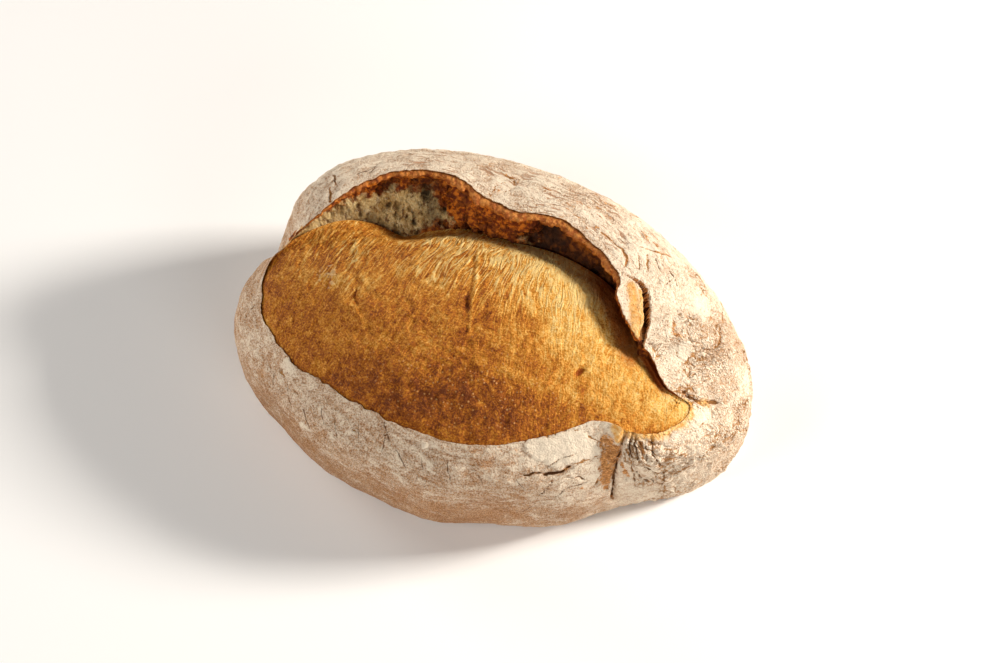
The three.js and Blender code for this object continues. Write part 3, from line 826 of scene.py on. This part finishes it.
# The golden burst
burst = {
    "columns": 420,
    "rows": 216,
    "overlap": 2.5,          # how far it runs on under the crust's edge
    "strandHeight": 0.85,
    "pebbleHeight": 0.3,
    "wrinkles": [(6, 0.34), (2.4, 0.26)],    # size and height
    "tearHeight": 0.7,
    "grooveDepth": 0.8,
    "stepHeight": 0.45,
    "lipHeight": 0.6,
    "nickDepth": 1.3,
    "scuffHeight": 0.35,
    "moistDepth": 0.3,
    "blisterHeight": 0.16,
    "browning": 0.6,         # how brown it is before the tones, 0 to 1
    # how much browner or paler the bake is round a place: place, spread, amount
    "tones": [
        ((-110, -20), (45, 45), 0.03), ((0, -58), (68, 22), 0.28), ((62, -15), (34, 40), -0.35),
        ((-16, 26), (34, 20), -0.17), ((28, 22), (26, 26), -0.4), ((104, -24), (16, 14), -0.34),
        ((50, -44), (26, 9), 0.04), ((-45, 28), (26, 14), -0.14), ((8, 29), (26, 7), -0.22),
    ],
    # a long tear up the middle, a low step right of it, a short fissure with a raised
    # lip at the left, and the edge of the skin before the moist dough
    "tear": [(-5, -25, 93), (-8, -12, 96), (-9, -3, 97), (-11, 6, 97), (-14, 16, 95), (-17, 26, 92)],
    "step": [(4, -38, 89), (18, -38, 88), (35, -39, 87), (48, -38.5, 85), (61, -37, 84), (75, -42, 80)],
    "fissure": [(-64.2, -15, 86.4), (-63.4, -18.5, 85.8), (-61, -22, 85)],
    "lip": [(-69, -21.5, 83.5), (-62.5, -24.5, 84.9), (-57, -28.5, 84.5)],
    "moist": [(-16, 13, 97), (-9, 12.5, 97), (-5, 16, 96.6), (-1, 19.5, 95.5), (9, 22.5, 94),
              (15, 21.5, 94), (26, 21, 93)],
    "streaks": [((52, -34), (55.5, -46.5), 0.15), ((78.5, -25.5), (81, -33), 0.2)],
    "bake": [(0.0, "#f9d48a"), (0.25, "#f0b65a"), (0.5, "#d68a28"), (0.75, "#aa5c12"), (1.0, "#723508")],
    # the last colour here is painted shade under the ear, also used for the scar's real dark red
    "pinheads": "#e2a868", "scuff": "#f4cc94", "shade": "#a04c0c",
}


def goldenCrust():
    # Bare crust that set late, in the oven's dry heat: thin, taut and slightly glossy,
    # pale gold where it tore open last and deep orange-brown where it baked longest
    material, shader, add, place = startMaterial(
        "goldenCrust", Roughness=0.58, IOR=1.45, **{"Specular IOR Level": 0.25})
    browning, stretch, strands, blister, scuff, shade = (
        add("Attribute", output="Fac", attribute_name=name)
        for name in ("browning", "stretch", "strands", "blister", "scuff", "shade"))
    along = add("Attribute", output="Vector", attribute_name="along")
    mottle, fine = (
        add("TexNoise", {"Vector": place, "Scale": 1 / size, "Detail": detail, "Roughness": rough})
        for size, detail, rough in ((3.2, 4.0, 0.6), (0.9, 3.0, 0.65)))
    # threads of gluten about 0.9 mm apart, drawn out along the stretch
    threads = add("TexNoise", {"Vector": along, "Scale": 1.0, "Detail": 2.0, "Roughness": 0.6,
                               "Distortion": 0.3})
    drawn = add("Math", [add("MapRange", [threads, 0.42, 0.66, -0.5, 1], **eased), stretch], **times)
    # a few long threads, thin and pale: the lines along which a coarser noise is one half, with painted
    # shade beside them where the bump sinks a groove
    loose = add("TexNoise", {"Vector": along, "Scale": 0.3, "Detail": 1.5, "Roughness": 0.5})
    loose = add("Math", [add("Math", [loose, -0.5], **plus)], **unsigned)
    beside, loose = (
        add("Math", [add("MapRange", [loose, outer, inner], **eased), stretch], **times)
        for outer, inner in ((0.13, 0.06), (0.045, 0.012)))
    # pale pinhead blisters, about 0.8 mm wide, where the crust is darkest
    pinheads = add("TexVoronoi", {"Vector": place, "Scale": 1 / 2.5}, output="Distance")
    pinheads = add("Math", [add("MapRange", [pinheads, 0.24, 0.12], **eased), blister], **times)
    tone = browning
    for part, strength in ((mottle, 0.8), (fine, 1.35), (strands, -0.5), (drawn, -0.25), (beside, 0.2),
                           (loose, -0.75)):
        tone = add("Math", [part, strength, tone], **timesPlus)
    colour = add("ValToRGB", [add("Math", [tone, -1.075], **plus)])
    bake = colour.node.color_ramp.elements
    for stop, (at, code) in enumerate(burst["bake"]):
        element = bake[stop] if stop < 2 else bake.new(at)
        element.position = at
        element.color = linear(code)
    # the last mix is painted shade under the ear and along the crust's right edge, with the scar's real
    # dark red
    for amount, code in ((pinheads, burst["pinheads"]), (scuff, burst["scuff"]), (shade, burst["shade"])):
        colour = add("Mix", {0: amount, 6: colour, 7: code}, **colourMix)
    height = fine
    for part, strength in ((mottle, 1.2), (drawn, 0.5), (beside, -0.3), (loose, 0.9), (pinheads, 0.4)):
        height = add("Math", [part, strength, height], **timesPlus)
    return finishMaterial(material, shader, colour, add("Bump", {"Height": height, "Distance": 0.001}))


def makeBurst():
    # a grid swept along the loaf: at each x from the opening's front to its back, and
    # back underneath; its height is the dome's, less a dive towards the crease
    u = np.arange(1600) / 1600
    at = opening(u)
    around = at["crease"] - at["inward"] * burst["overlap"]
    left, tip = np.argmin(around[:, 0]), np.argmax(around[:, 0])
    loop = np.roll(around, -tip, 0)
    turnAt = (left - tip) % len(loop)
    back, front = loop[:turnAt + 1][::-1], np.concatenate([loop[turnAt:], loop[:1]])
    ends = loop[turnAt, 0] + 0.05, loop[0, 0] - 0.05
    sweep = (1 - np.cos(np.linspace(0.035, 0.965, burst["columns"]) * np.pi)) / 2
    sweep = 0.6 * sweep + 0.4 * np.linspace(0, 1, burst["columns"])
    sweep = (sweep - sweep[0]) / (sweep[-1] - sweep[0])
    x = ends[0] + (ends[1] - ends[0]) * sweep
    frontY = np.interp(x, *front[np.argsort(front[:, 0])].T[:2])
    backY = np.interp(x, *back[np.argsort(back[:, 0])].T[:2])
    across = np.linspace(0, 1, burst["rows"])
    across = across + 0.05 * np.sin(2 * np.pi * across) / np.pi
    y = frontY[:, None] + (backY - frontY)[:, None] * across
    x = np.repeat(x[:, None], burst["rows"], 1)
    flat = np.stack([x, y], -1)

    # the dive: every point of the crease pulls the surface down by its own sink times
    # exp(-distance / fall), and the pulls are joined by a smooth maximum
    crease = at["crease"]
    sinkAt = domeHeight(crease[:, 0], crease[:, 1]) - crease[:, 2] + 3
    fallAt = 2.2 + 6.5 * at["ear"][:, 0]
    power = 3
    step = np.linalg.norm(np.roll(crease, -1, 0) - crease, axis=1)
    strength = np.maximum(sinkAt, 0.01)**power * step * power / (2 * fallAt)
    centre = np.array(form["openingMiddle"]) + shift[:2]
    reach = np.linalg.norm(crease[:, :2] - centre, axis=1)
    sink, inside, earHere = (np.empty(x.size) for _ in range(3))
    points = flat.reshape(-1, 2)
    for part in np.array_split(np.arange(x.size), 90):
        gaps = np.sqrt(((points[part, None] - crease[None, :, :2])**2).sum(-1))
        sink[part] = (np.exp(-power * gaps / fallAt) @ strength)**(1 / power)
        nearest = gaps.argmin(1)
        outside = np.linalg.norm(points[part] - centre, axis=1) > reach[nearest]
        inside[part] = gaps.min(1) * np.where(outside, -1, 1)
        earHere[part] = at["ear"][nearest, 0]
    sink, inside, earHere = (values.reshape(x.shape) for values in (sink, inside, earHere))
    lifted = np.exp(-np.abs(inside) / (2.2 + 6.5 * earHere))
    z = domeHeight(x, y) + 3 * lifted - sink - np.where(inside < 0, -inside * 0.9, 0)
    # the dough's back edge sinks into a V before the crumb
    z -= 4.2 * blob(x, y, (-55, 28), (9, 9))
    top = np.stack([x, y, z], -1)

    # relief: strands pulled towards the ear, which lean left in the middle and right
    # further on, lumps, wrinkles and a fine pebbled skin
    wander = ripple(top, 14, 31) * 1.8
    lean = x + wander + (0.5 * smooth(-30, 35, x) - 0.3) * (y - 10)
    stretch = np.exp(-np.abs((x + 14) / 42)**3 - ((y - 18) / 24)**2)
    for middle, spread, strength in (((32, 8), (24, 18), 0.4), ((-75, 4), (26, 22), 0.45)):
        stretch = np.maximum(stretch, strength * blob(x, y, middle, spread))
    fibre = np.stack([lean / 1.7, y / 9, 0 * x], -1)
    cord = np.stack([lean / 4.2, y / 20, 5 + 0 * x], -1)
    fine = np.clip(1 - 2.6 * np.abs(ripple(fibre, 1, 32)), 0, 1)
    coarse = np.clip(1 - 4.5 * np.abs(ripple(cord, 1, 33)), 0, 1)
    patchy = smooth(-0.35, 0.3, ripple(top, 9, 42))
    strands = stretch * (0.6 * fine * patchy + 1.0 * coarse * smooth(-0.3, 0.3, ripple(top, 15, 43)))
    relief = 0.8 * ripple(top, 34, 34) + 0.4 * ripple(top, 13, 35)
    relief += burst["pebbleHeight"] * layered(top, 3.4, 3, 36) + burst["strandHeight"] * strands
    wavy = top + np.stack([wander, wander, 0 * x], -1)
    (size, height), (finerSize, finerHeight) = burst["wrinkles"]
    wrinkle = height * (1 - 2 * np.abs(ripple(wavy, size, 44)))
    finer = finerHeight * (1 - 2 * np.abs(ripple(wavy, finerSize, 47)))
    relief += (wrinkle + finer * smooth(60, 0, x)) * (1 - 0.6 * stretch)
    swerve = np.stack([0.8 * ripple(top, 5, 45), 0 * x, 0 * x], -1)
    tear = ridge(top + swerve, burst["tear"], 0.9)
    groove = ridge(top + swerve + (2.2, 0, 0), burst["tear"], 1.4)
    groove = groove * smooth(-0.35, 0.35, ripple(top, 11, 46))
    groove = groove * smooth(8, -8, y)
    relief += burst["tearHeight"] * tear - burst["grooveDepth"] * groove
    step = ridge(top + swerve * 3, burst["step"], 2.2)
    relief += burst["stepHeight"] * step * smooth(-0.4, 0.3, ripple(top, 9, 48))
    patch = blob(x, y, (-81, -10), (8, 8))
    flaky = ripple(top, 2.2, 37) + 0.7 * ripple(top, 1.1, 49)
    scuff = smooth(0.42, 0.62, flaky * patch + 0.25 * patch)
    nick = 0.6 * ridge(top + 1.5 * swerve, burst["fissure"], 0.8)
    relief += burst["lipHeight"] * ridge(top + swerve, burst["lip"], 0.8)
    moist = ridge(top + 2 * swerve, burst["moist"], 0.9) * smooth(-0.5, 0.1, ripple(top, 6, 79))
    # a small dark scar at the right
    scar = np.exp(-((x - 49 - 0.4 * (y + 28)) / 1.5)**2 - ((y + 28 + 0.5 * ripple(top, 2, 97)) / 2.2)**2)
    nick = np.maximum(nick, scar)
    relief += burst["scuffHeight"] * scuff - burst["nickDepth"] * nick - burst["moistDepth"] * moist
    # blisters low on the front
    speck, _, tag = bubbles(top, 3.6, 38)
    lower = blob(x, y, (6, -50), (62, 21))
    relief += burst["blisterHeight"] * smooth(0.3, 0.12, speck) * smooth(0.35, 0.7, tag) * lower
    nearTips = smooth(ends[0], ends[0] + 9, x) * smooth(ends[1], ends[1] - 9, x)
    relief *= smooth(0, 2.5, inside) * (0.25 + 0.75 * nearTips)
    slopeX = domeHeight(x + 0.5, y) - domeHeight(x - 0.5, y)
    slopeY = domeHeight(x, y + 0.5) - domeHeight(x, y - 0.5)
    outwards = np.stack([-slopeX, -slopeY, np.ones_like(x)], -1)
    outwards /= np.linalg.norm(outwards, axis=-1)[..., None]
    top = top + outwards * relief[..., None]
    top[..., 2] = np.maximum(top[..., 2], 40)

    # how brown: orange at the left, darkest low in the middle, pale gold to the right
    browning = burst["browning"]
    for middle, spread, amount in burst["tones"]:
        browning = browning + amount * blob(x, y, middle, spread)
    browning += 0.1 * ripple(top, 22, 40) + 0.13 * ripple(top, 8, 41)
    browning += 0.3 * groove + 0.5 * nick - 0.12 * step + 0.35 * moist
    for start, end, amount in burst["streaks"]:
        browning += amount * ridge(top[..., :2] + swerve[..., :2], [start, end], 1.5)
    # painted shade far in under the ear's right end, where its shadow falls, and in the gap along the
    # crust's edge there; the scar's real dark red is added to it
    shade = smooth(14, 7, inside) * smooth(26, 48, x) * smooth(0.3, 0.8, earHere)
    rightEdge = smooth(4.5, 1.5, inside) * smooth(66, 76, x) * smooth(0.05, 0.2, earHere)
    shade = np.maximum(0.85 * shade, rightEdge)
    shade = np.maximum(shade, 0.7 * smooth(0.3, 0.6, scar))
    under = []
    for part in (0.985, 0.8, 0.5, 0.2, 0.015):
        row = top[:, :1] * (1 - part) + top[:, -1:] * part
        row[..., 2] = np.minimum(top[:, :1, 2], top[:, -1:, 2]) - 6
        under.append(row)
    rings = np.concatenate([top, *under], 1)
    pad = np.zeros((len(rings), len(under)))
    marks = {                # on the top; the hidden underside has none
        "browning": browning,
        "stretch": 0.12 + 0.88 * stretch,
        "shade": shade,
        "along": np.stack([lean / 0.9, y / 7, z / 7], -1),
        "strands": np.clip(strands + 0.5 * tear, 0, 1),
        "blister": 0.8 * lower,
        "scuff": scuff * 0.7,
    }
    for mark, seen in marks.items():
        marks[mark] = np.concatenate([seen, np.zeros((*pad.shape, *seen.shape[2:]))], 1)
    return skin("goldenBurst", rings, goldenCrust(), marks)


# The torn wall under the ear
wall = {
    "firstStation": 0.5,
    "lastStation": 14.9,
    "columns": 780,
    "rows": 92,
    "rimRows": (7, 10, 3),   # under the rim, back over it, and in under the crust
    "ledge": 3.4,            # how far the baked rim stands in from the crust's edge
    "backing": 3.0,
    "lumpHeight": 0.45,
    "webHeight": 0.15,
    "fleshHeight": 5.0,      # how far the torn flesh hangs out over the middle
    "deepest": (1.6, 3.5),   # how far the relief may sink, right of the flesh and left of it
    # the pores' darkness is painted shade in them
    "bubbles": [(6.0, 1.8, 0.6, 55), (2.8, 0.6, 0.4, 56)],   # pores: size, depth, darkness, seed
    # the largest pores: station, height up the wall 0 to 1, radius and depth in mm
    "cavities": [
        (11.0, 0.78, 3.0, 3.0), (10.85, 0.5, 2.8, 3.4), (10.4, 0.33, 2.0, 2.6), (12.2, 0.85, 1.6, 2.0),
        (14.2, 0.2, 2.6, 2.4), (11.9, 0.45, 1.7, 1.8), (12.7, 0.3, 1.8, 1.6), (13.4, 0.4, 1.6, 1.4),
        (11.4, 0.22, 1.6, 1.6), (7.15, 0.45, 3.6, 1.5),
    ],
    "crumb": "#f6da9c", "darkCrumb": "#cc9e58", "crumbBlots": "#b08440",
    # the last colour is painted shade: in pores and hollows, under the crust's edge and on the hidden back
    "pits": "#744614", "webs": "#fff0c6", "paintedShadeColour": "#2c1606",
    "toast": "#dc7a1c", "darkToast": "#7e3404", "burntToast": "#602604",
    "rim": "#dc9044", "darkRim": "#a4561c", "rimBlots": "#ba6a2e",
}


def tornCrumb():
    # The loaf's inside, torn open: moist, open crumb that shines a little in its pores,
    # toasted to a dry reddish brown along the rim
    material, shader, add, place = startMaterial(
        "tornCrumb", Roughness=0.62, IOR=1.45, **{"Specular IOR Level": 0.3})
    toast, paintedShade, ledge = (
        add("Attribute", output="Fac", attribute_name=name) for name in ("toast", "paintedShade", "ledge"))
    fine, soft, clots = (
        add("TexNoise", {"Vector": place, "Scale": 1 / size, "Detail": 3.0, "Roughness": rough})
        for size, rough in ((0.9, 0.65), (5, 0.6), (2.4, 0.55)))
    softMix = add("MapRange", [soft, 0.4, 0.65], **eased)
    # small pores darkened with painted shade, and pale webs about 0.4 mm thick, all drawn out upwards
    drawn = add("Mapping", {"Vector": place, "Scale": (1, 1, 0.5)})
    pits = add("TexNoise", {"Vector": drawn, "Scale": 1 / 2.5, "Detail": 2.0, "Roughness": 0.5})
    webs = add("TexNoise", {"Vector": drawn, "Scale": 1 / 3.4, "Detail": 1.0, "Distortion": 0.7})
    webs = add("Math", [add("Math", [webs, -0.5], **plus)], **unsigned)
    colour = add("Mix", {0: add("MapRange", [fine, 0.35, 0.7, 0, 0.7], **eased),
                         6: wall["crumb"], 7: wall["darkCrumb"]}, **colourMix)
    darkened = add("Mix", {0: add("MapRange", [clots, 0.4, 0.6], **eased),
                        6: wall["toast"], 7: wall["darkToast"]}, **colourMix)
    darkened = add("Mix", {0: add("MapRange", [soft, 0.45, 0.6, 0, 0.75], **eased),
                        6: darkened, 7: wall["burntToast"]}, **colourMix)
    baked = add("Mix", {0: add("MapRange", [clots, 0.38, 0.62], **eased),
                        6: wall["rim"], 7: wall["darkRim"]}, **colourMix)
    baked = add("Mix", {0: add("Math", [softMix, 0.6], **times), 6: baked, 7: wall["rimBlots"]},
                **colourMix)
    spread = toast
    for noise, strength in ((fine, 0.7), (soft, 0.8)):
        spread = add("Math", [noise, strength, spread], **timesPlus)
    # the last layer is painted shade, in pores and hollows, under the crust's edge and on the hidden back
    for amount, layer in (
            (add("Math", [softMix, 0.8], **times), wall["crumbBlots"]),
            (add("MapRange", [pits, 0.53, 0.68, 0, 0.85], **eased), wall["pits"]),
            (add("MapRange", [webs, 0.03, 0.008, 0, 0.35], **eased), wall["webs"]),
            (add("MapRange", [spread, 0.95, 1.6], **eased), darkened),
            (ledge, baked),
            (paintedShade, wall["paintedShadeColour"])):
        colour = add("Mix", {0: amount, 6: colour, 7: layer}, **colourMix)
    height = add("Math", [soft, 2.0, fine], **timesPlus)
    height = add("Math", [pits, -2.0, height], **timesPlus)
    return finishMaterial(material, shader, colour, add("Bump", {"Height": height, "Distance": 0.0008}))


def makeWall():
    # swept round the back of the opening: at each u a Bezier curve from under the burst
    # up the hollow, a second round the underside of the baked rim, a third back over
    # its ledge to the crust, then back down behind it all
    count = len(stations)
    u = np.linspace(wall["lastStation"], wall["firstStation"], wall["columns"]) / count
    at = opening(u)
    up = np.array([0, 0, 1.0])
    ear, along, normal, inward = at["ear"], at["along"], at["normal"], at["inward"]
    station = u[:, None] * count
    thick = np.minimum(0.6 * at["creaseDown"], 1.0 + (form["rimThickness"] - 1.0) * ear)
    wide = wall["ledge"] * ear * smooth(4.0, 5.4, station) * (1 - 0.45 * smooth(9.8, 11, station))
    wide *= (1 + 0.5 * np.exp(-((station - 9.2) / 0.7)**2)) * (1 - 0.25 * smooth(7.8, 6.8, station))
    wide = 0.2 + wide * (1 + 0.5 * ripple(at["edge"], 8, 67) + 0.35 * ripple(at["edge"], 2.8, 73))[:, None]
    edge = at["edge"] - along * raggedEdge(at)
    edge = edge - normal * slitCut(edge)[1][:, None]
    under = edge + inward * 0.5 * wide - up * thick
    lip = edge + inward * wide - up * 0.5 * thick
    corner = edge + inward * 0.15 - up * (0.25 + 0.5 * at["skin"])
    tuck = edge + along * 1.4 - normal * at["skin"] * 0.85
    foot = at["crease"] + at["outward"] * 0.5 - up * 6
    tall = under[:, 2:] - foot[:, 2:]
    hollow = form["undercut"] * ear
    face = bezier(foot, foot - inward * hollow + up * 0.2 * tall,
                  under - inward * hollow - up * 0.2 * tall, under, np.linspace(0, 1, wall["rows"]))
    curves = ((under, under + inward * 0.5 * wide, lip - up * 0.25 * thick, lip),
              (lip, lip + up * 0.2 * thick, corner + inward * 0.5 * wide, corner),
              (corner, corner, tuck, tuck))
    rim = np.concatenate([bezier(*curve, np.arange(1, rows + 1) / rows)
                          for curve, rows in zip(curves, wall["rimRows"])])
    front = np.concatenate([face, rim]).transpose(1, 0, 2)

    # where we are: place is the station, height goes from 0 at the foot to 1 at the
    # rim's underside, and over from 0 there to 1 where the rim goes in under the crust
    place = np.repeat(station, front.shape[1], 1)
    row = np.arange(front.shape[1])[None, :] + 0 * place
    height = np.clip(row / wall["rows"], 0, 1)
    over = np.clip((row - wall["rows"]) / sum(wall["rimRows"][:2]), 0, 1)
    body = ear * smooth(0.0, 0.1, height)

    # crumb: soft lumps, pores of two sizes, no two alike and drawn out upwards, and the
    # largest ones by name, with a few webs between; painted shade darkens the pores and the low left end,
    # which the ear shades
    warp = drift(front, 4, 51, 52, 53)
    drawn = (front + 1.6 * warp) * (1, 1, 0.62)
    relief = wall["lumpHeight"] * layered(front, 5, 2, 54)
    paintedShade = 0.45 * smooth(11.8, 12.8, place) * smooth(0.75, 0.35, height) + 0.6 * smooth(12.4, 13.2, place)
    # painted shade in a deep hollow at station 10.75
    hollowed = 0.75 * np.exp(-((place - 10.75) / 0.3)**2)
    paintedShade += hollowed * smooth(0.05, 0.3, height) * smooth(0.95, 0.7, height)
    for size, depth, darkness, seed in wall["bubbles"]:
        near, _, tag = bubbles(drawn, size, seed)
        radius = 0.1 + 0.4 * tag**2
        hole = smooth(radius + 0.16, radius - 0.1, near)
        relief -= depth * hole
        paintedShade = np.maximum(paintedShade, darkness * hole)
    for atStation, atHeight, radius, depth in wall["cavities"]:
        column = np.abs(u * count - atStation).argmin()
        centre = front[column, int(atHeight * wall["rows"])]
        away = np.linalg.norm(front + 0.9 * warp - centre, axis=-1)
        hole = smooth(radius + 0.5, 0.4 * radius, away)
        relief -= depth * hole
        paintedShade = np.maximum(paintedShade, 0.92 * hole)
    web = np.clip(1 - 3 * np.abs(ripple(drawn * (1 / 2.2, 1 / 2.2, 1 / 9), 1, 58)), 0, 1)
    relief += wall["webHeight"] * web
    paintedShade *= 1 - 0.35 * web

    # torn flesh that hangs from the rim over the middle of the burst, in rough folds
    waver = place + 0.3 * ripple(front, 6, 64) + 0.12 * ripple(front, 2, 65)
    flesh = smooth(10.3, 9.9, waver) * smooth(7.5, 7.9, waver)
    rough = 1 - 2 * np.abs(ripple(front + 1.2 * warp, 4.6, 59))
    folded = 1 - 2 * np.abs(ripple((front + 1.5 * warp) * (0.5, 0.5, 1), 2.6, 68))
    ragged = height + 0.12 * ripple(front, 3.4, 60) + 0.06 * ripple(front, 1.2, 66)
    hang = smooth(0.02, 0.2, ragged) * smooth(1.05, 0.75, height)
    lumps = 1.4 * ripple(front, 7, 61) + 1.0 * rough + 0.5 * folded
    relief += flesh * hang * (wall["fleshHeight"] + lumps) - 0.3 * relief * flesh
    hollowHere = smooth(7.8, 7.5, waver) * smooth(6.7, 7.0, waver) * smooth(0.85, 0.6, height)
    relief -= 0.8 * hollowHere
    # painted shade in the hollow beside the flesh, in the flesh's creases and low under it
    paintedShade = np.maximum(paintedShade * (1 - 0.75 * flesh), 0.9 * hollowHere)
    paintedShade = np.maximum(paintedShade, 0.75 * flesh * np.maximum(smooth(-0.2, -0.7, rough), smooth(0.3, 0.05, height)))
    right = smooth(5.9, 5.5, waver)
    relief += right * hang * smooth(3.8, 4.6, place) * (1.4 * rough + 0.5 * folded)
    # painted shade low on the wall at the right
    paintedShade = np.maximum(paintedShade, 0.8 * right * smooth(0.7, 0.3, height))
    # nothing sinks so far that it meets the crust behind
    shallow, deep = wall["deepest"]
    deepest = shallow + (deep - shallow) * smooth(8, 9.5, place)
    relief = np.maximum(relief, -deepest) * body * smooth(0.5, 0.1, over)
    # the rim itself is pitted a little and its lip is chipped
    relief += ear * smooth(0, 0.2, over) * smooth(0.9, 0.6, over) * 0.35 * layered(front, 2.6, 2, 69)
    front = front + normalsOf(front) * relief[..., None]

    # colour: crumb at the left and in a patch at the right, toasted flesh between and
    # along the rim, and the rim's own smooth ledge
    bubbly = ripple(front, 4, 62)
    toast = 1.1 * smooth(0.48, 0.74, height + 0.12 * bubbly)
    toast = np.maximum(toast, 0.95 * flesh)
    toast = np.maximum(toast, right * (0.75 + 0.3 * rough))
    toast = np.maximum(toast, 1.2 * hollowHere)
    lowBits = smooth(11.6, 11.0, waver) * smooth(0.3, 0.1, height + 0.1 * bubbly)
    toast = np.maximum(toast, smooth(11.0, 10.2, waver) * (0.8 + 0.4 * rough) * smooth(0.1, 0.5, height))
    toast = np.maximum(toast, smooth(7.2, 6.8, waver) * (1.05 + 0.25 * bubbly + 0.2 * rough))
    # painted shade in the patch at the right and at the tip under the tongue
    paintedShade = np.maximum(paintedShade, smooth(7.2, 6.8, waver) * (0.35 + 0.4 * smooth(0.6, 0.2, height)))
    paintedShade = np.maximum(paintedShade, 0.85 * smooth(4.2, 3.6, waver))
    toast = np.maximum(toast, lowBits)
    chipped = smooth(-0.5, 0.4, bubbly + 0.5 * ripple(front, 1.8, 72) + 1.5 * smooth(10.8, 9.4, place))
    ledge = smooth(0.15, 0.4, over + 0.15 * bubbly + 0.12 * ripple(front, 1.6, 74)) * (0.1 + 0.9 * chipped)
    ledge *= smooth(0.98, 0.88, over) * smooth(4.0, 5.0, place)
    # painted shadow under the crust's edge
    underSkin = 0.45 * smooth(0.82, 0.92, over) * (0.4 + 0.6 * smooth(-0.3, 0.3, ripple(front, 7, 80)))
    # the hidden back follows the hollow, far enough out for the deepest pores
    back = np.stack([
        edge + along * 2.2 - normal * (at["skin"] + 1.4),
        *(face[int(part * len(face))] + at["outward"] * (1.5 + 3.5 * ear) for part in (0.8, 0.6, 0.4, 0.2)),
        foot + at["outward"] * wall["backing"],
    ], 1)
    rings = np.concatenate([front, back], 1)
    pad = np.zeros(back.shape[:2])
    # the back's darkness is painted shade
    marks = {                # on the face, and on the back, which is dark but at the left end
        "toast": (toast, pad + 1),
        "paintedShade": (np.clip(paintedShade * body * smooth(0.2, 0, over) + underSkin, 0, 1),
                 pad + smooth(13.8, 12.8, station)),
        "ledge": (np.clip(ledge, 0, 1), pad),
    }
    marks = {mark: np.concatenate(parts, 1) for mark, parts in marks.items()}
    return skin("tornWall", rings, tornCrumb(), marks)


# Floor, light and camera
studio = {
    "floorSize": 3.0,
    "floorColour": "#fbfbfb",
    "azimuth": 17,
    "elevation": 60,
    "distance": 1.15,
    "lens": 85,
    "aim": (0.0002, 0.0056, 0.045),
    "lampDistance": 1.8,
    "lampAim": 0.05,         # how far over the floor the lamps are aimed
    "ambience": 0.05,
}

# azimuth, elevation, size in metres, power in watts and colour
lamps = {
    "keyLamp": (115, 28, 0.35, 48.5, "#fff8ee"),
    "backLeftLamp": (250, 14, 0.7, 14, "#fffaf4"),
    "frontLeftLamp": (318, 35, 0.8, 12.5, "#fffaf4"),
    "frontRightLamp": (45, 24, 0.8, 7.5, "#fffaf4"),
}


def direction(azimuth, elevation):
    # azimuth turns from the front to the right, elevation rises from the floor
    around, above = np.radians(azimuth), np.radians(elevation)
    return Vector((np.sin(around) * np.cos(above), -np.cos(around) * np.cos(above), np.sin(above)))


def makeLamp(name, azimuth, elevation, size, power, colour):
    # a square lamp that faces the loaf
    lamp = bpy.data.lights.new(name, "AREA")
    lamp.size = size
    lamp.energy = power
    lamp.color = linear(colour)[:3]
    placed = bpy.data.objects.new(name, lamp)
    towards = direction(azimuth, elevation)
    placed.location = towards * studio["lampDistance"] + Vector((0, 0, studio["lampAim"]))
    placed.rotation_euler = towards.to_track_quat("Z", "Y").to_euler()
    bpy.context.scene.collection.objects.link(placed)


def makeStudio():
    half = studio["floorSize"] / 2
    mesh = bpy.data.meshes.new("floor")
    mesh.from_pydata([(-half, -half, 0), (half, -half, 0), (half, half, 0), (-half, half, 0)],
                     [], [(0, 1, 2, 3)])
    material, shader, *_ = startMaterial("paleFloor", Roughness=0.9)
    shader.inputs["Base Color"].default_value = linear(studio["floorColour"])
    mesh.materials.append(material)
    floor = bpy.data.objects.new("floor", mesh)
    bpy.context.scene.collection.objects.link(floor)
    for name, lamp in lamps.items():
        makeLamp(name, *lamp)
    world = bpy.data.worlds.new("studio")
    world.use_nodes = True
    background = world.node_tree.nodes["Background"]
    background.inputs["Color"].default_value = linear("#ffffff")
    background.inputs["Strength"].default_value = studio["ambience"]
    bpy.context.scene.world = world
    bpy.context.scene.view_settings.view_transform = "Standard"

    camera = bpy.data.cameras.new("camera")
    camera.lens = studio["lens"]
    placed = bpy.data.objects.new("camera", camera)
    back = direction(studio["azimuth"], studio["elevation"])
    middle = Vector((*boxMiddle[:2] / 1000, boxLow[2] / 1000))
    placed.location = middle + Vector(studio["aim"]) + back * studio["distance"]
    placed.rotation_euler = back.to_track_quat("Z", "Y").to_euler()
    bpy.context.scene.collection.objects.link(placed)
    bpy.context.scene.camera = placed


makeStudio()
print("crust")
crustPiece = makeCrust()
print("burst")
makeBurst()
print("torn wall")
makeWall()
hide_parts("loaf")
